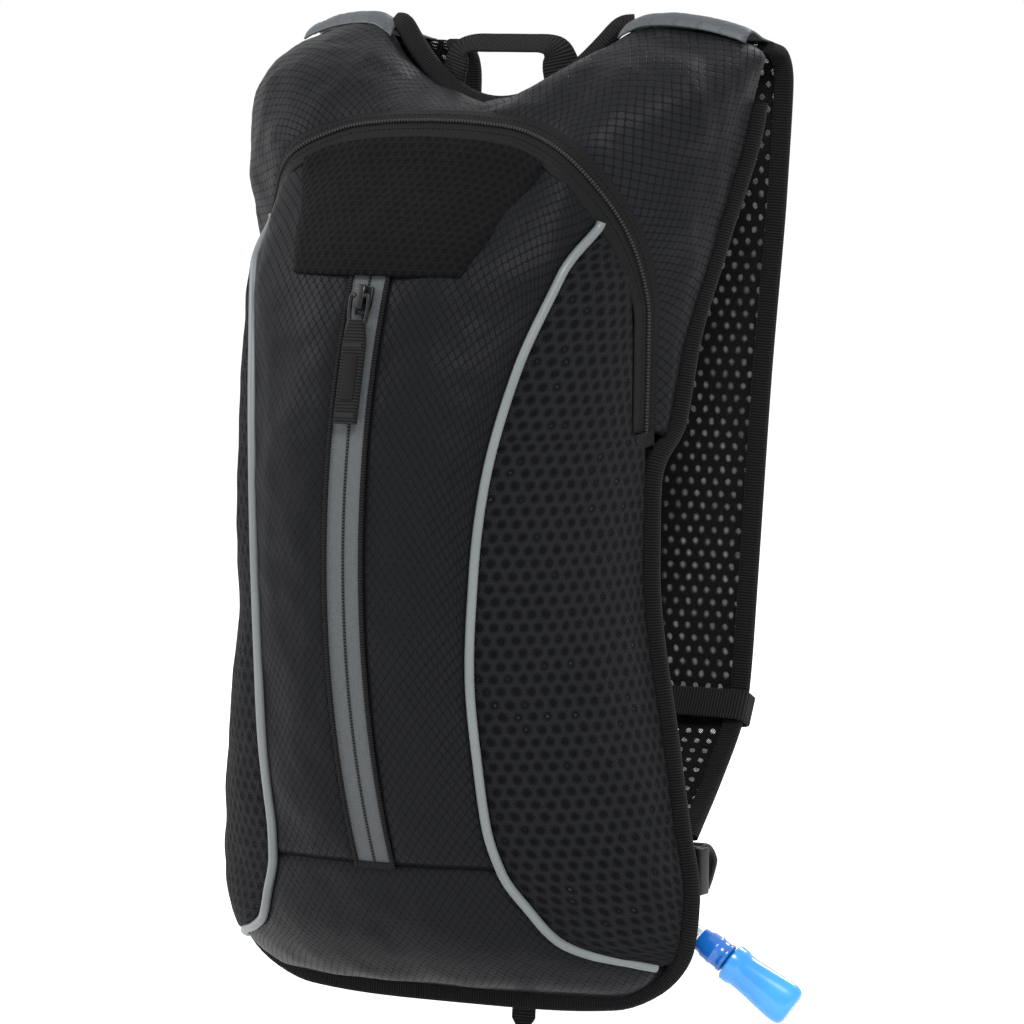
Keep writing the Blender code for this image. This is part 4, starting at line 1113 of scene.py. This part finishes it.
def make_haul_loop():
    """One length of webbing: up from behind the neckline, folded over, and down again."""
    corners = [(33, 41.2, 402), (30.5, 41.6, 414), (28, 41.8, 424), (25.5, 42.4, 431.5)]
    corners += [(20, 43.0, 434.6), (8, 43.6, 434.9)]
    corners += [(-x, y, z) for x, y, z in corners[::-1]]
    path = np.array(drawn(corners, 110))
    count = len(path)
    out, widths = [], []
    for k in range(count):
        share = k / (count - 1)
        run = math.exp(-(((share - 0.5) / 0.27) ** 6))
        lean = -math.copysign(0.5, share - 0.5) * (1 - run)
        out.append((lean, run * 0.35 - 1, run * 0.75))
        widths.append(18.0 - 6.0 * run)
    obj = tape("haul_loop_webbing", path, out, 18.0, 2.2, "webbing", slot="webbing")
    section = len(obj.data.vertices) // count
    for k in range(count):
        for j in range(section):
            vertex = obj.data.vertices[k * section + j]
            centre = Vector((path[k] - HANG) * MM)
            vertex.co = centre + (vertex.co - centre) * (widths[k] / 18.0)
    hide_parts("haul_loop")


# ---------------------------------------------------------------- straps and what is on them

STRAP = [(76, 434, 45, 119), (86, 431, 45, 120), (92, 418, 45, 120), (90, 367, 46, 118), (83, 283, 47, 114)]
STRAP += [(76, 191, 48, 111), (70, 140, 52, 110), (46, 104, 72, 110), (16.5, 77.5, 94, 112)]
strap_line = smooth(list(enumerate(STRAP)))
STRAP_STEPS = len(STRAP) - 1


def strap_frame(t):
    """Middle (y, z) of the strap, its rearward unit vector, and X of its two edges."""
    y, z, inner, outer = strap_line(t)
    ahead, behind = strap_line(min(t + 0.05, STRAP_STEPS)), strap_line(max(t - 0.05, 0))
    way = np.array((0, ahead[0] - behind[0], ahead[1] - behind[1]))
    way /= np.linalg.norm(way)
    return np.array((0, y, z)), np.array((0, -way[2], way[1])), inner, outer


def make_straps():
    steps = spread(0, STRAP_STEPS, 150)
    frames = [strap_frame(t) for t in steps]
    middles = eased(np.array([f[0] for f in frames]), 4)
    backs = np.array([f[1] for f in frames])
    for side, sign in SIDES:
        rows = []
        for middle, back, (_, _, inner, outer) in zip(middles, backs, frames):
            row = []
            for k, x in enumerate(spread(inner + 2.0, outer - 2.0, 34)):
                crown = back * 0.6 * math.sin(math.pi * k / 33)
                row.append(middle + crown + np.array((x * sign, 0, 0)))
            rows.append(row)
        core = np.array((90 * sign, 400.0, 250.0))
        piece = cloth(f"strap_{side}_mesh", rows, "strap", "mesh", 0.2, 0.5, 30.0, 0.0, 1.4, core=core)
        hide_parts(f"strap_{side}")
        for edge, pick, inset in (("inner", 2, 3.6), ("outer", 3, -3.6)):
            path = [m + np.array(((f[pick] + inset) * sign, 0, 0)) for m, f in zip(middles, frames)]
            tape(f"strap_{side}_{edge}_binding", path, backs, 9.6, 4.2, "binding", slot="webbing")
        make_band(side, sign)
        make_lock(side, sign)
        make_shoulder(side, sign)


def make_band(side, sign):
    """A webbing keeper round the strap, with room for the hose behind it."""
    t = next(k for k in spread(0, STRAP_STEPS, 400) if strap_line(k)[1] <= 132.0)
    middle, back, inner, outer = strap_frame(t)
    gap = 3.0 + 1.9 + 0.8  # half the strap, its slack and half the webbing
    room = 9.2 + 1.6  # the hose and its slack
    low, high = inner - 3.4, outer + 2.3
    corners = [(low, -gap), (high, -gap), (high, gap)]
    corners += [(low + 26, gap + room * 0.5), (low + 15, gap + room), (low, gap + room)]
    path = []
    for (x0, k0), (x1, k1) in zip(corners, corners[1:] + corners[:1]):
        for s in spread(0, 1, 12)[:-1]:
            path.append(middle + back * (k0 + (k1 - k0) * s) + np.array(((x0 + (x1 - x0) * s) * sign, 0, 0)))
    path = np.array(path)
    for _ in range(5):
        path = (np.roll(path, 1, axis=0) + path * 2 + np.roll(path, -1, axis=0)) / 4
    ahead = np.roll(path, -1, axis=0) - np.roll(path, 1, axis=0)
    down = np.cross(back, (1, 0, 0))
    out = np.cross(ahead, down)
    out *= np.sign(np.sum(out * (path - path.mean(axis=0)), axis=1))[:, None]
    piece = tape(f"band_loop_{side}_webbing", path, out, 14.0, 1.5, "webbing", slot="webbing", closed=True)
    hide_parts(f"band_loop_{side}")


LOCK = np.array((106.0, 13.0, 63.0))


def make_lock(side, sign):
    """Ladder lock: two side rails, three bars and a lever lip, with webbing round the lower bar."""
    where = LOCK * (sign, 1, 1)
    boxes = [
        ((-10.9, 1, 0), (3.4, 9.0, 21.6)),
        ((10.9, 1, 0), (3.4, 9.0, 21.6)),
        ((0, 1, 9.4), (21.0, 8.0, 3.4)),
        ((0, 0, -8.2), (21.0, 5.4, 4.6)),
        ((0, 0.4, 2.2), (21.0, 4.6, 3.4)),
        ((0, -2.6, -9.2), (17.0, 3.0, 5.4)),
    ]
    piece = blocks(f"ladder_lock_{side}_frame", boxes, "plastic", "bag", "plastic", where, None, 1.25, 4)
    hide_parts(f"ladder_lock_{side}")
    lever = [(15, 71.5), (20, 73.5), (26, 71), (30, 65), (32, 57.5), (32.4, 52)]
    path = np.array(drawn([(where[0], y, z) for y, z in lever], 30))
    tab = tape(f"ladder_lock_{side}_lever", path, (0, 0.6, 0.8), 21.0, 3.2, "plastic", slot="plastic")
    for vertex in tab.data.vertices:
        z = vertex.co.z / MM + HANG[2]
        narrow = 1 - 0.55 * limit((66 - z) / 14)
        vertex.co.x = (where[0] + (vertex.co.x / MM - where[0]) * narrow) * MM
    y, bar = LOCK[1], LOCK[2] - 11 + 5
    off = 3.5 + 0.8 + 0.6
    corners = [(y + off, bar - 11), (y + off, bar - 3), (y + off - 0.8, bar + 1.4)]
    corners += [(y + 1.5, bar + 2.4), (y - 1.5, bar + 2.4), (y + 0.8 - off, bar + 1.4)]
    corners += [(y - off, bar - 3), (y - off + 1, bar - 9), (3.4, 38), (2.6, 30)]
    path = []
    for far, z in drawn(corners, 60):
        path.append(((LOCK[0] - 5 * max(0, (48 - z) / 18)) * sign, far, z))
    path = np.array(path)
    ahead = np.gradient(path, axis=0)
    out = np.cross(ahead, (1, 0, 0))
    piece = tape(f"lock_webbing_{side}_tape", path, out, 16.0, 1.5, "webbing", slot="webbing")
    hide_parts(f"lock_webbing_{side}")


def make_shoulder(side, sign):
    """Grey reflective band over the ridge of the shoulder."""
    ridges = [np.array(yoke_edge(t)) for t in spread(3.8, 5.6, 80)]
    rows = []
    for x in spread(60, 117.5, 34):
        ridge = min(ridges, key=lambda p: abs(p[0] - x))
        over = [(-6.5, 0.4), (-3, 4.0), (2, 5.6), (11, 2.4)]
        knots = [(x, ridge[1] + y, ridge[2] + z) for y, z in over] + [(x, 79, 436.2)]
        rows.append([np.array(point) * (sign, 1, 1) for point in drawn(knots, 22)])
    core = np.array((90 * sign, 56, 400.0))
    name = f"shoulder_band_{side}_tape"
    piece = cloth(name, rows, "shoulder", "reflective", 0.3, 0.6, 16.0, 0.3, core=core)
    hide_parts(f"shoulder_band_{side}")


def make_base_tab():
    path = [(32, 1.0 - 1.5 * s, -0.5 - 15.5 * s) for s in spread(0, 1, 16)]
    obj = tape("base_tab_webbing", path, (0, -1, 0), 12.0, 2.4, "webbing", slot="webbing")
    for vertex in obj.data.vertices:
        z = vertex.co.z / MM + HANG[2]
        share = limit((-9 - z) / 7.0)
        centre = 32 * MM
        vertex.co.x = centre + (vertex.co.x - centre) * (1 - 0.85 * share)
    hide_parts("base_tab")


# ---------------------------------------------------------------- inside, hose and valve


def finish_inside():
    """The hidden pieces keep their CAD shape and take their own finish."""
    looks = {
        "tank": ["reservoir"],
        "plastic": ["fill_collar", "outlet_elbow", "port_grommet"],
        "seal": ["cap_gasket", "outlet_seal"],
        "webbing": ["hanger_strip"],
        "hose": ["inner_hose"],
        "base": ["pocket_lining"],
        "blue_dark": ["fill_cap"],
    }
    for look, nodes in looks.items():
        for node in nodes:
            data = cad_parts[node].data
            data.materials.clear()
            data.materials.append(LOOKS[look])


FREE_ROUTE = [(30, 34.8, 392), (30, 44, 392), (31, 62, 393), (34, 82, 396), (38, 98, 391), (44, 104, 372)]
FREE_ROUTE += [(49, 102, 345), (50, 97, 300), (50.5, 91.5, 245), (53, 86, 190), (57, 81.5, 150), (59, 76.5, 128)]
FREE_ROUTE += [(64, 64, 100), (74, 46, 72), (88, 28, 50), (102.4, 17.8, 39), (112, 20, 32)]
HOSE_RADIUS = 4.6
VALVE_START = np.array((112.0, 20.0, 32.0))
VALVE_TIP = np.array((154.6, 30.0, 1.0))


def make_hose_and_valve():
    line = drawn(FREE_ROUTE, 160)
    hose = cord_curve("drink_hose_tube", line, HOSE_RADIUS, "hose", slot="hose_clear")
    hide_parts("drink_hose")
    way = VALVE_TIP - VALVE_START
    way /= np.linalg.norm(way)
    start = VALVE_START + way * 0.8
    profile = [(0, 0), (5.0, 0), (5.4, 0.5), (5.7, 3.4), (6.5, 4.8), (6.6, 8.2), (6.9, 8.8)]
    profile += [(6.9, 9.8), (6.55, 10.4), (6.6, 13.6), (7.0, 14.2), (7.0, 15.6), (6.6, 16.1)]
    profile += [(4.2, 16.6), (4.2, 24.0), (3.9, 32.6), (0, 32.6)]
    collar = turned("valve_collar_moulding", profile, start, way, "blue_dark", slot="blue_dark")
    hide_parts("valve_collar")
    profile = [(0, 33.6), (4.6, 33.6), (4.7, 17.0), (8.2, 17.1), (9.0, 17.9), (9.1, 21.4), (8.8, 22.6)]
    profile += [(8.4, 23.6), (8.3, 26), (8.2, 30), (8.3, 36), (8.4, 42), (8.5, 46), (8.4, 49), (8.0, 51)]
    profile += [(7.2, 52.3), (6, 53), (4.2, 53.1), (2.6, 53.1), (1.2, 53.1), (0, 53.1)]
    mouth = turned("mouthpiece_silicone", profile, start, way, "blue_light", "mouthpiece", "blue_light")
    wide = np.cross(way, (0.498, -0.863, 0.087))
    wide /= np.linalg.norm(wide)
    flat = np.cross(way, wide)
    for vertex in mouth.data.vertices:
        spot = np.array(vertex.co) / MM + HANG - start
        share = limit((spot @ way - 25) / 20)
        move = wide * (spot @ wide) * 0.18 * share - flat * (spot @ flat) * 0.22 * share
        if spot @ way > 51 and abs(spot @ flat) < 0.7:
            move = move - way * 1.8
        vertex.co += Vector(move * MM)
    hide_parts("mouthpiece")


# ---------------------------------------------------------------- studio


def area_light(name, place, aim, size, power):
    data = bpy.data.lights.new(name, "AREA")
    data.shape, data.size, data.energy = "DISK", size, power
    obj = bpy.data.objects.new(name, data)
    bpy.context.scene.collection.objects.link(obj)
    obj.location = place
    obj.rotation_mode = "QUATERNION"
    obj.rotation_quaternion = (Vector(aim) - Vector(place)).to_track_quat("-Z", "Y")
    return obj


FLOOR_Z = -0.455  # metres below the hook


def make_studio():
    scene = bpy.context.scene
    target = (Vector((26, 0, 223)) - Vector(HANG)) * MM
    turn, rise, far = math.radians(30), math.radians(5), 3.0
    back = Vector((math.sin(turn) * math.cos(rise), -math.cos(turn) * math.cos(rise), math.sin(rise)))
    data = bpy.data.cameras.new("camera")
    data.lens, data.sensor_width = 232, 36
    camera = bpy.data.objects.new("camera", data)
    scene.collection.objects.link(camera)
    camera.location = target + back * far
    camera.rotation_mode = "QUATERNION"
    camera.rotation_quaternion = (-back).to_track_quat("-Z", "Y")
    scene.camera = camera
    world = bpy.data.worlds.new("studio")
    scene.world = world
    world.use_nodes = True
    world.node_tree.nodes["Background"].inputs["Color"].default_value = (1, 1, 1, 1)
    world.node_tree.nodes["Background"].inputs["Strength"].default_value = 1.0
    area_light("key", (1.1, -1.3, 1.5), target, 0.8, 46)
    area_light("fill", (-1.7, -1.0, 0.9), target, 1.0, 26)
    area_light("rim", (0.4, 1.6, 1.2), target, 0.8, 22)
    scene.view_settings.view_transform = "Standard"
    floor = Finish("pale_floor", (0.96, 0.96, 0.96), 0.8, Emission_Strength=0.12)
    floor.shader.inputs["Emission Color"].default_value = (1, 1, 1, 1)
    floor.feed("Base Color", floor.blend((0.95, 0.95, 0.95), (0.97, 0.97, 0.97), floor.speckle(3.0)))
    bm = bmesh.new()
    bmesh.ops.create_grid(bm, x_segments=1, y_segments=1, size=12.0)
    plane = bpy.data.meshes.new("floor")
    bm.to_mesh(plane)
    bm.free()
    plane.materials.append(floor.material)
    obj = bpy.data.objects.new("floor", plane)
    scene.collection.objects.link(obj)
    obj.location = (0, 0, FLOOR_Z)


make_studio()
make_hose_and_valve()
make_front()
make_sides()
make_pocket_zip()
make_pocket_slider()
make_main_zip()
make_zip_ends()
make_main_slider()
make_yoke()
make_back()
padded_back()
make_bindings()
make_haul_loop()
make_straps()
make_base_tab()
finish_inside()
